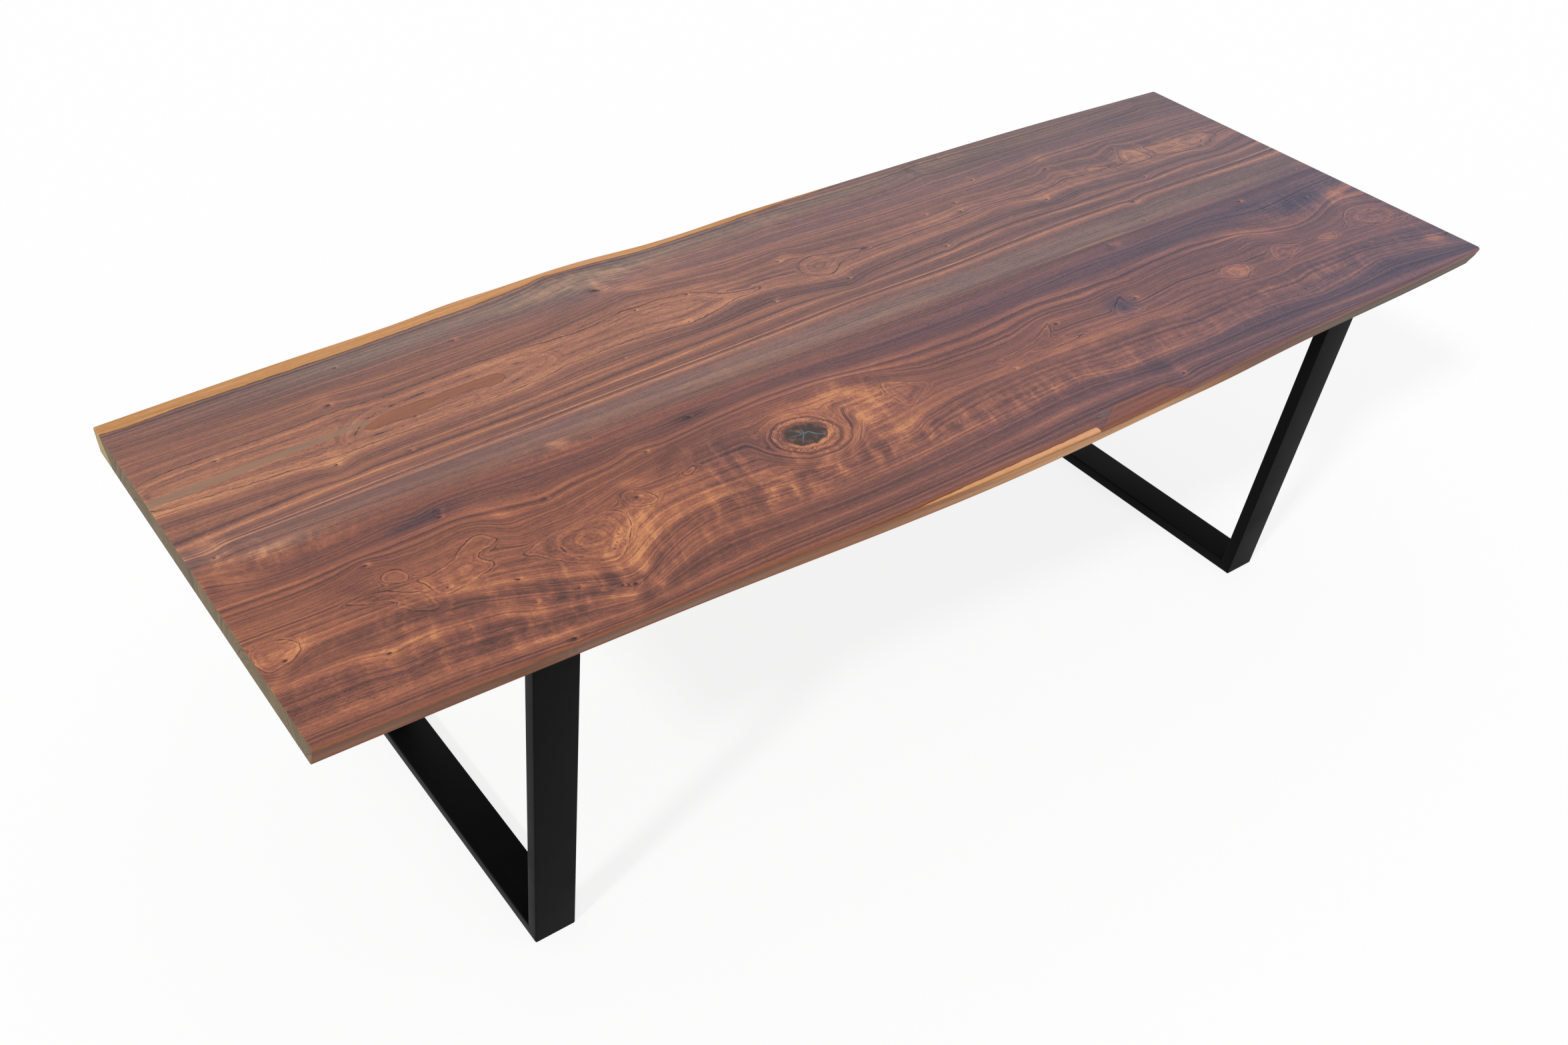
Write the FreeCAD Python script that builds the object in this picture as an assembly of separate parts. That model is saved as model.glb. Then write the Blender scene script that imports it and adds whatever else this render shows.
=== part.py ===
import FreeCAD, Part
import math
import os

# Live edge dining table: two walnut boards glued edge to edge, on two splayed frames of steel tube.
# Millimetres. X runs along the table, Y towards its rear edge, Z up. The origin is on the floor
# below the middle of the top.

# Top
TOP_LENGTH = 2438.4
TOP_THICKNESS = 44.45
SEAM_Y = -10.0
END_EASE = 1.0

# Live edges: each station gives X, then how far the edge stands out from Y = 0 at the top face
# and at the bottom face. The difference is the undercut.
FRONT_STATIONS = (
    (-1219.2, 422.5, 407.5),
    (-1021, 431, 412.5),
    (-822, 438, 419),
    (-587, 446, 428),
    (-380, 455.5, 440),
    (-225, 465, 447.5),
    (-50, 467.5, 452),
    (125, 468.5, 450.5),
    (330, 464, 445.5),
    (465, 456, 443),
    (630, 449.5, 435),
    (842, 444, 429),
    (1037, 440, 425),
    (1219.2, 433.5, 417.5),
)
REAR_STATIONS = (
    (-1219.2, 413, 405),
    (-1033, 427, 418),
    (-846, 438, 429),
    (-668, 448, 438.5),
    (-590, 456.5, 446.5),
    (-500, 460, 449.5),
    (-375, 466, 455),
    (-290, 465, 453.5),
    (-200, 458, 447),
    (-80, 457.5, 446),
    (20, 463, 450),
    (180, 466, 452),
    (420, 467.5, 453),
    (640, 468.5, 454.5),
    (920, 464.5, 450.5),
    (1095, 458.5, 445.5),
    (1219.2, 454, 441.5),
)

# The profile of a live edge: bark side rolled over at the top, then falling back to a shoulder,
# given as shares of the thickness and of the undercut, and rounded at the bottom.
ROLL_WIDTH = 6.0
ROLL_DEPTH = 5.0
ROLL_STEPS = 5
SHOULDER_DROP = 0.45
SHOULDER_UNDERCUT = 0.35
LOWER_ROUNDING = 5.0
LOWER_STEPS = 3

# Big knot in the front board, its drying checks filled with resin. Each check runs from the knot's
# pith through the points given from it, as X, Y and the width there.
KNOT_X = -296.0
KNOT_Y = -212.0
RESIN_DEPTH = 9.0
KNOT_CHECKS = (
    ((0, 0, 2.4), (-6, 8, 1.8), (-14, 21, 0.4)),
    ((0, 0, 2.6), (-12, 1, 2.2), (-31, 5, 0.4)),
    ((0, 0, 2.0), (3, 9, 1.6), (5, 20, 0.4)),
    ((0, 0, 2.4), (-12, -13, 2.0), (-18, -24, 0.4)),
    ((0, 0, 3.4), (9, 1, 3.6), (17, -11, 3.6), (27, -19, 2.4), (24, -30, 0.4)),
)

# Walnut patch and resin sliver at the front edge: corners of the patch in plan, and the sliver's
# two tips with how far its sides bulge between them.
PATCH_DEPTH = 10.0
PATCH_OUTLINE = ((118, -490), (118, -472), (190, -429.5), (300, -430), (340, -466), (340, -490))
SLIVER_START = (138, -440.5)
SLIVER_END = (172, -438)
SLIVER_BULGES = (-3.0, 1.2)
SLIVER_STEPS = 5

# Leg frames, of 3 x 1 inch tube
LEG_HEIGHT = 692.15
LEG_CENTRE_X = 860.0
TUBE_WIDTH = 76.2
TUBE_DEPTH = 25.4
TUBE_WALL = 2.1
TUBE_CORNER = 3.0
FOOT_HALF_SPREAD = 327.3
SPLAY_SLOPE = 0.106
WELD_LEG = 5.0
WELD_HOLLOW = 0.36

# Mounting plates and their fasteners, M8
PLATE_THICKNESS = 6.0
BOLT_ROWS = (110.0, 290.0)
SLOT_WIDTH = 9.0
SLOT_LENGTH = 20.0
SLOT_FLAT = 0.01
BOLT_DIAMETER = 8.0
BOLT_LENGTH = 25.0
BOLT_HEAD_DIAMETER = 14.0
BOLT_HEAD_HEIGHT = 4.4
BOLT_RIM = 1.4
BOLT_CROWN_SHARE = 0.62
BOLT_SOCKET = 5.0
BOLT_SOCKET_DEPTH = 2.6
WASHER_DIAMETER = 24.0
WASHER_THICKNESS = 2.0
WASHER_PLAY = 0.2
INSERT_DIAMETER = 12.0
INSERT_LENGTH = 22.0
INSERT_POCKET = 26.0
CLEARANCE = 0.05

# Worked out from the sizes above. OVERSIZE and FAR only reach past what they cut.
TABLE_HEIGHT = LEG_HEIGHT + TOP_THICKNESS
HALF_LENGTH = TOP_LENGTH / 2
SPLAY = math.atan(SPLAY_SLOPE)
UPRIGHT_TOP = LEG_HEIGHT - PLATE_THICKNESS
TUBE_RUN = TUBE_DEPTH / math.cos(SPLAY)
INNER_CORNER_Y = FOOT_HALF_SPREAD + SPLAY_SLOPE * TUBE_DEPTH - TUBE_RUN
PLATE_HALF_LENGTH = FOOT_HALF_SPREAD + SPLAY_SLOPE * UPRIGHT_TOP
OVERSIZE = 200.0
FAR = 1500.0

V = FreeCAD.Vector
ALONG_X = V(1, 0, 0)
ALONG_Y = V(0, 1, 0)
UP = V(0, 0, 1)


def save(shape, name):
    """Writes one node."""
    shape.exportStep(os.path.join("parts", name + ".step"))


def polygon_face(points):
    """A flat face with straight sides through the points."""
    return Part.Face(Part.makePolygon(points + points[:1]))


# The top


def live_edge_profile(top_reach, bottom_reach):
    """The live edge in a cross-section, as reach and height from the top face to the bottom one."""
    undercut = top_reach - bottom_reach
    profile = [(top_reach - ROLL_WIDTH, TABLE_HEIGHT)]
    for step in range(1, ROLL_STEPS + 1):
        turn = math.pi / 2 * step / ROLL_STEPS
        reach = top_reach - ROLL_WIDTH * (1 - math.sin(turn))
        profile.append((reach, TABLE_HEIGHT - ROLL_DEPTH * (1 - math.cos(turn))))
    shoulder = TABLE_HEIGHT - TOP_THICKNESS * SHOULDER_DROP
    profile.append((top_reach - undercut * SHOULDER_UNDERCUT, shoulder))
    for step in range(LOWER_STEPS + 1):
        turn = math.pi / 2 * step / LOWER_STEPS
        reach = bottom_reach - LOWER_ROUNDING * (1 - math.cos(turn))
        profile.append((reach, LEG_HEIGHT + LOWER_ROUNDING * (1 - math.sin(turn))))
    return profile


def end_outline(x, profile, side, inset):
    """The closed outline of a board at X, drawn in by the inset everywhere but at the seam."""
    middle = LEG_HEIGHT + TOP_THICKNESS / 2
    squeeze = 1 - inset * 2 / TOP_THICKNESS
    points = [V(x, side * (reach - inset), middle + (z - middle) * squeeze) for reach, z in profile]
    points.append(V(x, SEAM_Y, points[-1].z))
    points.append(V(x, SEAM_Y, points[0].z))
    return Part.makePolygon(points + points[:1])


def make_board(stations, side):
    """One board: rails along its live edge, strips between them, flat everywhere else."""
    shoulder = HALF_LENGTH - END_EASE
    places = [max(-shoulder, min(shoulder, x)) for x, top, bottom in stations]
    profiles = [live_edge_profile(top, bottom) for x, top, bottom in stations]
    rails = []
    for row in zip(*profiles):
        points = [V(x, side * reach, z) for x, (reach, z) in zip(places, row)]
        rail = Part.BSplineCurve()
        rail.interpolate(Points=points, Parameters=places)
        rails.append(rail.toShape())
    faces = [Part.makeRuledSurface(upper, lower) for upper, lower in zip(rails, rails[1:])]

    for rail in (rails[0], rails[-1]):
        start, end = (vertex.Point for vertex in rail.Vertexes)
        path = [start, V(start.x, SEAM_Y, start.z), V(end.x, SEAM_Y, end.z), end]
        lines = [Part.makeLine(first, last) for first, last in zip(path, path[1:])]
        faces.append(Part.Face(Part.Wire([rail] + lines)))
    ends = [end_outline(places[n], profiles[n], side, 0) for n in (0, -1)]
    faces += [Part.Face(outline) for outline in ends]
    corners = [(-shoulder, LEG_HEIGHT), (shoulder, LEG_HEIGHT), (shoulder, TABLE_HEIGHT)]
    corners.append((-shoulder, TABLE_HEIGHT))
    faces.append(polygon_face([V(x, SEAM_Y, z) for x, z in corners]))
    shell = Part.makeShell(faces)
    shell.sewShape()
    board = Part.makeSolid(shell)

    for outline, n in zip(ends, (0, -1)):
        tip = math.copysign(HALF_LENGTH, places[n])
        eased = end_outline(tip, profiles[n], side, END_EASE)
        board = board.fuse(Part.makeLoft([outline, eased], True, True))
    return board


def resin_prism(outline):
    """Resin filled flush with the top face, with the outline given as X and Y."""
    points = [V(x, y, TABLE_HEIGHT - RESIN_DEPTH) for x, y in outline]
    return polygon_face(points).extrude(UP * RESIN_DEPTH)


def make_check(course):
    """One drying check: a crack that bends at each point of its course and narrows to its tip."""
    left = []
    right = []
    for n, (x, y, width) in enumerate(course):
        behind = course[max(n - 1, 0)]
        ahead = course[min(n + 1, len(course) - 1)]
        across = V(behind[1] - ahead[1], ahead[0] - behind[0], 0).normalize() * (width / 2)
        left.append((KNOT_X + x + across.x, KNOT_Y + y + across.y))
        right.insert(0, (KNOT_X + x - across.x, KNOT_Y + y - across.y))
    return resin_prism(left + right)


def make_knot_resin():
    """The resin in the knot's checks: one branching solid."""
    checks = [make_check(course) for course in KNOT_CHECKS]
    return checks[0].multiFuse(checks[1:]).removeSplitter()


def make_edge_resin():
    """The crescent of resin beside the patch."""
    length = SLIVER_END[0] - SLIVER_START[0]
    rise = SLIVER_END[1] - SLIVER_START[1]
    sides = []
    for bulge in SLIVER_BULGES:
        side = []
        for step in range(1, SLIVER_STEPS):
            share = step / SLIVER_STEPS
            swell = 4 * bulge * share * (1 - share)
            side.append((SLIVER_START[0] + length * share, SLIVER_START[1] + rise * share + swell))
        sides.append(side)
    lower, upper = sides
    return resin_prism([SLIVER_START] + lower + [SLIVER_END] + upper[::-1])


def make_patch_cutter():
    """The block of space that the edge patch takes from the front board."""
    floor = TABLE_HEIGHT - PATCH_DEPTH
    outline = [V(x, y, floor) for x, y in PATCH_OUTLINE]
    return polygon_face(outline).extrude(UP * OVERSIZE)


def insert_places(leg_x):
    """Centres of one leg's fasteners on the underside of the top."""
    rows = [sign * row for sign in (-1, 1) for row in BOLT_ROWS]
    return [V(leg_x, y, LEG_HEIGHT) for y in sorted(rows)]


def make_insert_pockets():
    """The drilled holes that hold the threaded inserts."""
    pockets = []
    for leg_x in (-LEG_CENTRE_X, LEG_CENTRE_X):
        for place in insert_places(leg_x):
            pockets.append(Part.makeCylinder(INSERT_DIAMETER / 2, INSERT_POCKET, place))
    return Part.makeCompound(pockets)


# Leg frames, modelled about X = 0 and moved into place


def rounded_rectangle(width, depth, radius):
    """A flat face about the origin, width along X and depth along Y, with round corners."""
    block = Part.makeBox(width, depth, 1.0, V(-width / 2, -depth / 2, 0))
    upright_edges = [e for e in block.Edges if abs(e.tangentAt(e.FirstParameter).z) > 0.9]
    rounded = block.makeFillet(radius, upright_edges)
    return min(rounded.Faces, key=lambda face: face.CenterOfMass.z)


def make_tube(length):
    """Rectangular tube standing on the origin, hollow and open at both ends."""
    outside = rounded_rectangle(TUBE_WIDTH, TUBE_DEPTH, TUBE_CORNER).extrude(UP * length)
    bore_width = TUBE_WIDTH - 2 * TUBE_WALL
    bore_depth = TUBE_DEPTH - 2 * TUBE_WALL
    bore = Part.makeBox(bore_width, bore_depth, length, V(-bore_width / 2, -bore_depth / 2, 0))
    return outside.cut(bore)


def wedge(outline):
    """A prism right across the tube, with the outline given as Y and Z."""
    points = [V(-OVERSIZE, y, z) for y, z in outline]
    return polygon_face(points).extrude(ALONG_X * 2 * OVERSIZE)


def mitre_space():
    """Everything on the upright's side of the bottom mitre plane."""
    rise = TUBE_DEPTH
    run = INNER_CORNER_Y - FOOT_HALF_SPREAD
    reach = OVERSIZE / rise
    low = (FOOT_HALF_SPREAD - run * reach, -rise * reach)
    high = (FOOT_HALF_SPREAD + run * reach, rise * reach)
    return wedge([low, high, (high[0], FAR), (FAR, FAR), (FAR, low[1])])


def make_upright():
    """The upright on the +Y side, leaning outwards, mitred below and level above."""
    tube = make_tube(LEG_HEIGHT + OVERSIZE)
    tube.translate(V(0, -TUBE_DEPTH / 2, -OVERSIZE / 2))
    tube.rotate(V(0, 0, 0), ALONG_X, -math.degrees(SPLAY))
    tube.translate(V(0, FOOT_HALF_SPREAD, 0))
    headroom = wedge([(0, UPRIGHT_TOP), (0, FAR), (FAR, FAR), (FAR, UPRIGHT_TOP)])
    return tube.cut(headroom).common(mitre_space())


def make_rail():
    """The rail along the floor, mitred at both ends."""
    tube = make_tube(2 * (FOOT_HALF_SPREAD + OVERSIZE))
    tube.translate(UP * -(FOOT_HALF_SPREAD + OVERSIZE))
    tube.rotate(V(0, 0, 0), ALONG_X, -90)
    tube.translate(UP * (TUBE_DEPTH / 2))
    rear_end = mitre_space()
    front_end = rear_end.mirror(V(0, 0, 0), ALONG_Y)
    return tube.cut(rear_end).cut(front_end)


def make_fillet_bead(corner, first, second):
    """A weld bead in the corner between two flat faces, which leave along first and second."""
    flat_width = TUBE_WIDTH - 2 * TUBE_CORNER
    start = corner + first * WELD_LEG
    end = corner + second * WELD_LEG
    hollow = corner + (first + second) * (WELD_LEG * WELD_HOLLOW)
    sides = [
        Part.makeLine(corner, start),
        Part.Arc(start, hollow, end).toShape(),
        Part.makeLine(end, corner),
    ]
    bead = Part.Face(Part.Wire(sides)).extrude(ALONG_X * flat_width)
    bead.translate(V(-flat_width / 2, 0, 0))
    return bead


def make_welds():
    """Beads in the four inner corners of a frame."""
    up_the_leg = V(0, math.sin(SPLAY), math.cos(SPLAY))
    top_corner = V(0, PLATE_HALF_LENGTH - TUBE_RUN, UPRIGHT_TOP)
    beads = [
        make_fillet_bead(V(0, INNER_CORNER_Y, TUBE_DEPTH), -ALONG_Y, up_the_leg),
        make_fillet_bead(top_corner, -ALONG_Y, -up_the_leg),
    ]
    mirrored = [bead.mirror(V(0, 0, 0), ALONG_Y) for bead in beads]
    return Part.makeCompound(beads + mirrored)


def make_plate():
    """The plate under the top, with a row of slots across the grain for the bolts."""
    corner = V(-TUBE_WIDTH / 2, -PLATE_HALF_LENGTH, 0)
    plate = Part.makeBox(TUBE_WIDTH, 2 * PLATE_HALF_LENGTH, PLATE_THICKNESS, corner)
    slot = rounded_rectangle(SLOT_WIDTH, SLOT_LENGTH, SLOT_WIDTH / 2 - SLOT_FLAT)
    slot = slot.extrude(UP * PLATE_THICKNESS)
    for place in insert_places(0):
        plate = plate.cut(slot.translated(V(0, place.y, 0)))
    plate.translate(UP * UPRIGHT_TOP)
    return plate


# Fasteners, modelled pointing up with the origin on the underside of the top


def make_insert():
    """A threaded insert: a plain sleeve, flush with the underside of the top."""
    sleeve = Part.makeCylinder(INSERT_DIAMETER / 2, INSERT_LENGTH)
    return sleeve.cut(Part.makeCylinder(BOLT_DIAMETER / 2, INSERT_LENGTH))


def make_washer():
    """A wide washer that covers the plate's slot."""
    seat = V(0, 0, -PLATE_THICKNESS - WASHER_THICKNESS)
    disc = Part.makeCylinder(WASHER_DIAMETER / 2, WASHER_THICKNESS, seat)
    return disc.cut(Part.makeCylinder(BOLT_DIAMETER / 2 + WASHER_PLAY, WASHER_THICKNESS, seat))


def make_bolt():
    """A button head bolt: shank up, head below with a sloping shoulder and a hexagon socket."""
    seat = -PLATE_THICKNESS - WASHER_THICKNESS
    shank = BOLT_DIAMETER / 2 - CLEARANCE
    rim = BOLT_HEAD_DIAMETER / 2
    crown = seat - BOLT_HEAD_HEIGHT
    outline = [
        (0, crown),
        (rim * BOLT_CROWN_SHARE, crown),
        (rim, seat - BOLT_RIM),
        (rim, seat),
        (shank, seat),
        (shank, seat + BOLT_LENGTH),
        (0, seat + BOLT_LENGTH),
    ]
    bolt = polygon_face([V(x, 0, z) for x, z in outline]).revolve(V(0, 0, 0), UP, 360)
    corner = BOLT_SOCKET / math.sqrt(3)
    hexagon = []
    for step in range(6):
        angle = math.radians(60 * step)
        hexagon.append(V(corner * math.cos(angle), corner * math.sin(angle), crown))
    return bolt.cut(polygon_face(hexagon).extrude(UP * BOLT_SOCKET_DEPTH))


def at_each_insert(shape, leg_x):
    """One copy of a fastener at each place of a leg, as a group of separate solids."""
    return Part.makeCompound([shape.translated(place) for place in insert_places(leg_x)])


def main():
    os.makedirs("parts", exist_ok=True)

    pockets = make_insert_pockets()
    knot_resin = make_knot_resin()
    edge_resin = make_edge_resin()
    patch_space = make_patch_cutter()
    front = make_board(FRONT_STATIONS, -1)
    save(front.common(patch_space), "edge_patch")
    front = front.cut([patch_space, knot_resin, edge_resin, pockets])
    save(front, "front_board")
    save(make_board(REAR_STATIONS, 1).cut(pockets), "rear_board")
    save(knot_resin, "knot_resin")
    save(edge_resin, "edge_resin")

    upright = make_upright()
    frame = {
        "rear_upright": upright,
        "front_upright": upright.mirror(V(0, 0, 0), ALONG_Y),
        "bottom_rail": make_rail(),
        "leg_welds": make_welds(),
        "mounting_plate": make_plate(),
    }
    fasteners = {
        "threaded_inserts": make_insert(),
        "washers": make_washer(),
        "bolts": make_bolt(),
    }
    for side, leg_x in (("left", -LEG_CENTRE_X), ("right", LEG_CENTRE_X)):
        for name, shape in frame.items():
            save(shape.translated(V(leg_x, 0, 0)), side + "_" + name)
        for name, shape in fasteners.items():
            save(at_each_insert(shape, leg_x), side + "_" + name)


main()
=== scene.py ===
"""Live edge dining table: two walnut boards on two splayed frames of powder coated steel tube.

Lengths are written in millimetres and turned to metres where a mesh is made.
"""

import math

import bmesh
import bpy
import numpy as np
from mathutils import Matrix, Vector


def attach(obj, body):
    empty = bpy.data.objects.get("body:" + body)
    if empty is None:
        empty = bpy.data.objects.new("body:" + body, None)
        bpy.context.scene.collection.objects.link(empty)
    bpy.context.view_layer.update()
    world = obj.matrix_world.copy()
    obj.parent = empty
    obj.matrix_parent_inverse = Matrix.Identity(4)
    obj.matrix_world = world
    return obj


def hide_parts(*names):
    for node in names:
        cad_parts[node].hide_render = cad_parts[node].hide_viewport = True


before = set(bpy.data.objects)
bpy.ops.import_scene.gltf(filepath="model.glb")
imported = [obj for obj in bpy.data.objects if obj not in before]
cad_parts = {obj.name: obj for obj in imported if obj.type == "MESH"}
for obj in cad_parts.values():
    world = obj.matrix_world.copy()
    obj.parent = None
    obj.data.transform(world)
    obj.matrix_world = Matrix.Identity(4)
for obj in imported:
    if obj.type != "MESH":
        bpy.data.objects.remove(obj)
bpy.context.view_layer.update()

MM = 0.001
MATH = "ShaderNodeMath"
VECTOR = "ShaderNodeVectorMath"
NOISE = "ShaderNodeTexNoise"
SHARE = "ShaderNodeMapRange"
RAMP = "ShaderNodeValToRGB"
PLACE = "ShaderNodeTexCoord"
BUMP = "ShaderNodeBump"
SPLIT = "ShaderNodeSeparateXYZ"
JOIN = "ShaderNodeCombineXYZ"
MIX = "ShaderNodeMix"
# The colour sockets of a Mix node
FACTOR, UNDER_COLOUR, OVER_COLOUR = 0, 6, 7

# Sizes of the top, as in the CAD
TOP = 736.6
UNDER = 692.15
THICK = TOP - UNDER
HALF_LENGTH = 1219.2
SEAM_Y = -10.0
END_EASE = 1.0
FRONT_STATIONS = (
    (-1219.2, 422.5, 407.5),
    (-1021, 431, 412.5),
    (-822, 438, 419),
    (-587, 446, 428),
    (-380, 455.5, 440),
    (-225, 465, 447.5),
    (-50, 467.5, 452),
    (125, 468.5, 450.5),
    (330, 464, 445.5),
    (465, 456, 443),
    (630, 449.5, 435),
    (842, 444, 429),
    (1037, 440, 425),
    (1219.2, 433.5, 417.5),
)
REAR_STATIONS = (
    (-1219.2, 413, 405),
    (-1033, 427, 418),
    (-846, 438, 429),
    (-668, 448, 438.5),
    (-590, 456.5, 446.5),
    (-500, 460, 449.5),
    (-375, 466, 455),
    (-290, 465, 453.5),
    (-200, 458, 447),
    (-80, 457.5, 446),
    (20, 463, 450),
    (180, 466, 452),
    (420, 467.5, 453),
    (640, 468.5, 454.5),
    (920, 464.5, 450.5),
    (1095, 458.5, 445.5),
    (1219.2, 454, 441.5),
)
ROLL_WIDTH = 6.0
ROLL_DEPTH = 5.0
LOWER_ROUNDING = 5.0

# Leg frames, of 3 x 1 inch tube
LEG_X = 860.0
TUBE_WIDTH = 76.2
TUBE_DEPTH = 25.4
TUBE_WALL = 2.1
TUBE_CORNER = 3.0
FOOT_HALF_SPREAD = 327.3
SPLAY_SLOPE = 0.106
PLATE_THICKNESS = 6.0
WELD_LEG = 5.0
BOLT_ROWS = (110.0, 290.0)
BOLT_LENGTH = 25.0
BOLT_RADIUS = 3.95
BOLT_POINT = (0.55, 0.6)
HEAD_RADIUS = 7.0
HEAD_HEIGHT = 4.4
BOLT_RIM = 1.4
DOME_ANGLE = math.radians(58)
SOCKET = 5.0
SOCKET_DEPTH = 2.6
WASHER_RADIUS = 12.0
WASHER_BORE = 4.2
WASHER_THICKNESS = 2.0
INSERT_LENGTH = 22.0
THREAD_RINGS = 8
THREAD_START = 2.0
THREAD_PITCH = 2.4
THREAD_ROOT = 5.3
THREAD_CREST = 6.0
SMALL_BEVEL = 0.3


def paint(code):
    """Linear colour from an sRGB hex code."""
    shares = [int(code[n : n + 2], 16) / 255 for n in (1, 3, 5)]
    linear = [s / 12.92 if s <= 0.04045 else ((s + 0.055) / 1.055) ** 2.4 for s in shares]
    return (*linear, 1.0)


def add(tree, kind, inputs=(), **settings):
    """Adds a node. An input is a value, a socket, or a node, which stands for its first live output."""
    node = tree.nodes.new(kind)
    stops = settings.pop("stops", ())
    for name, value in settings.items():
        setattr(node, name, value)
    for n, (place, code) in enumerate(stops):
        ramp = node.color_ramp.elements
        stop = ramp[n] if n < len(ramp) else ramp.new(place)
        stop.position = place
        stop.color = paint(code) if isinstance(code, str) else (code, code, code, 1.0)
    pairs = inputs.items() if isinstance(inputs, dict) else enumerate(inputs)
    for name, value in pairs:
        if isinstance(value, bpy.types.Node):
            value = next(socket for socket in value.outputs if socket.enabled)
        if isinstance(value, bpy.types.NodeSocket):
            tree.links.new(value, node.inputs[name])
        else:
            node.inputs[name].default_value = value
    return node


def new_material(name, **values):
    """A material with a bare shader. Values are set on the shader's own sockets."""
    material = bpy.data.materials.new(name)
    material.use_nodes = True
    shader = material.node_tree.nodes["Principled BSDF"]
    for socket, value in values.items():
        shader.inputs[socket.replace("_", " ")].default_value = value
    return material, material.node_tree, shader


def finish_shader(tree, shader, colour, rough, height=None, strength=0.0, depth=0.0):
    """Links a finish to its shader. The depth of its skin is in millimetres."""
    links = {"Base Color": colour, "Roughness": rough}
    if height:
        links["Normal"] = add(tree, BUMP, {"Height": height, "Strength": strength, "Distance": depth * MM})
    for socket, source in links.items():
        tree.links.new(next(out for out in source.outputs if out.enabled), shader.inputs[socket])


# Walnut. The grain is worked out in mesh code and painted by the material.


def spline(stations, column, x):
    """Height of the smooth line through the stations at each X."""
    knots = np.array([s[0] for s in stations], float)
    values = np.array([s[column] for s in stations], float)
    gaps = np.diff(knots)
    slopes = np.diff(values) / gaps
    count = len(knots)
    system = np.eye(count)
    right = np.zeros(count)
    for n in range(1, count - 1):
        system[n, n - 1 : n + 2] = gaps[n - 1], 2 * (gaps[n - 1] + gaps[n]), gaps[n]
        right[n] = 6 * (slopes[n] - slopes[n - 1])
    bend = np.linalg.solve(system, right)
    x = np.clip(x, knots[0], knots[-1])
    n = np.clip(np.searchsorted(knots, x) - 1, 0, count - 2)
    before = x - knots[n]
    after = knots[n + 1] - x
    cubic = (bend[n] * after**3 + bend[n + 1] * before**3) / (6 * gaps[n])
    linear = (values[n] / gaps[n] - bend[n] * gaps[n] / 6) * after
    return cubic + linear + (values[n + 1] / gaps[n] - bend[n + 1] * gaps[n] / 6) * before


def bells(x, y, spots):
    """Sum of soft spots: centre X and Y, half widths along X and Y, turn in degrees, and height."""
    total = np.zeros_like(x)
    for centre_x, centre_y, wide, high, turn, amount in spots:
        c, s = math.cos(math.radians(turn)), math.sin(math.radians(turn))
        along = (x - centre_x) * c + (y - centre_y) * s
        over = (y - centre_y) * c - (x - centre_x) * s
        total += amount * np.exp(-((along / wide) ** 2) - (over / high) ** 2)
    return total


def drift(x, y, length, width, seed, waves=28):
    """Slow random field with about unit spread, stretched along X."""
    draws = np.random.default_rng(seed)
    total = np.zeros_like(x)
    for _ in range(waves):
        along, over = draws.normal(0, 1, 2)
        phase = draws.uniform(0, 2 * math.pi)
        total += np.cos(x * along / length + y * over / width + phase)
    return total * math.sqrt(2 / waves)


def course(x, points):
    """Straight-sided line through the points, given as X and value."""
    places, values = zip(*points)
    return np.interp(x, places, values)


# Stands for "nowhere near" in a distance
FAR_OFF = -50.0
# How far the layers lean under the top, and the slow waver of their lines and of the ends' rings
LAYER_LEAN = 0.7
LINE_WAVER = 1.6
END_WAVER = 2.5
# The wood turns to purple grey between these places along X, partly its own tone and partly a painted sheen,
# such as a satin finish shows at a grazing view
COOL_AND_SHEEN_START, COOL_AND_SHEEN_END = -500.0, 1200.0
# A pin knot and the fibres round it are longer than wide
KNOT_STRETCH = 1.5
PARTING_STRETCH = 1.8
# From how far off the big knot turns the lines of the grain into rings, and over what width
KNOT_REACH = 66.0
KNOT_BLEND = 46.0
# Painted shade: the undercut front side, which faces down, is darker than the arris, most of all right under
# it: depth and share
SIDE_PAINTED_SHADE = ((3, 0), (7, 1), (18, 0.65), (44, 0.55))
# Seeds of the slow waver of the grain lines, of the sides' ripples and of the end grain
LINE_SEED = 11
EDGE_SEED = 31
END_SEED = 41

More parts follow.
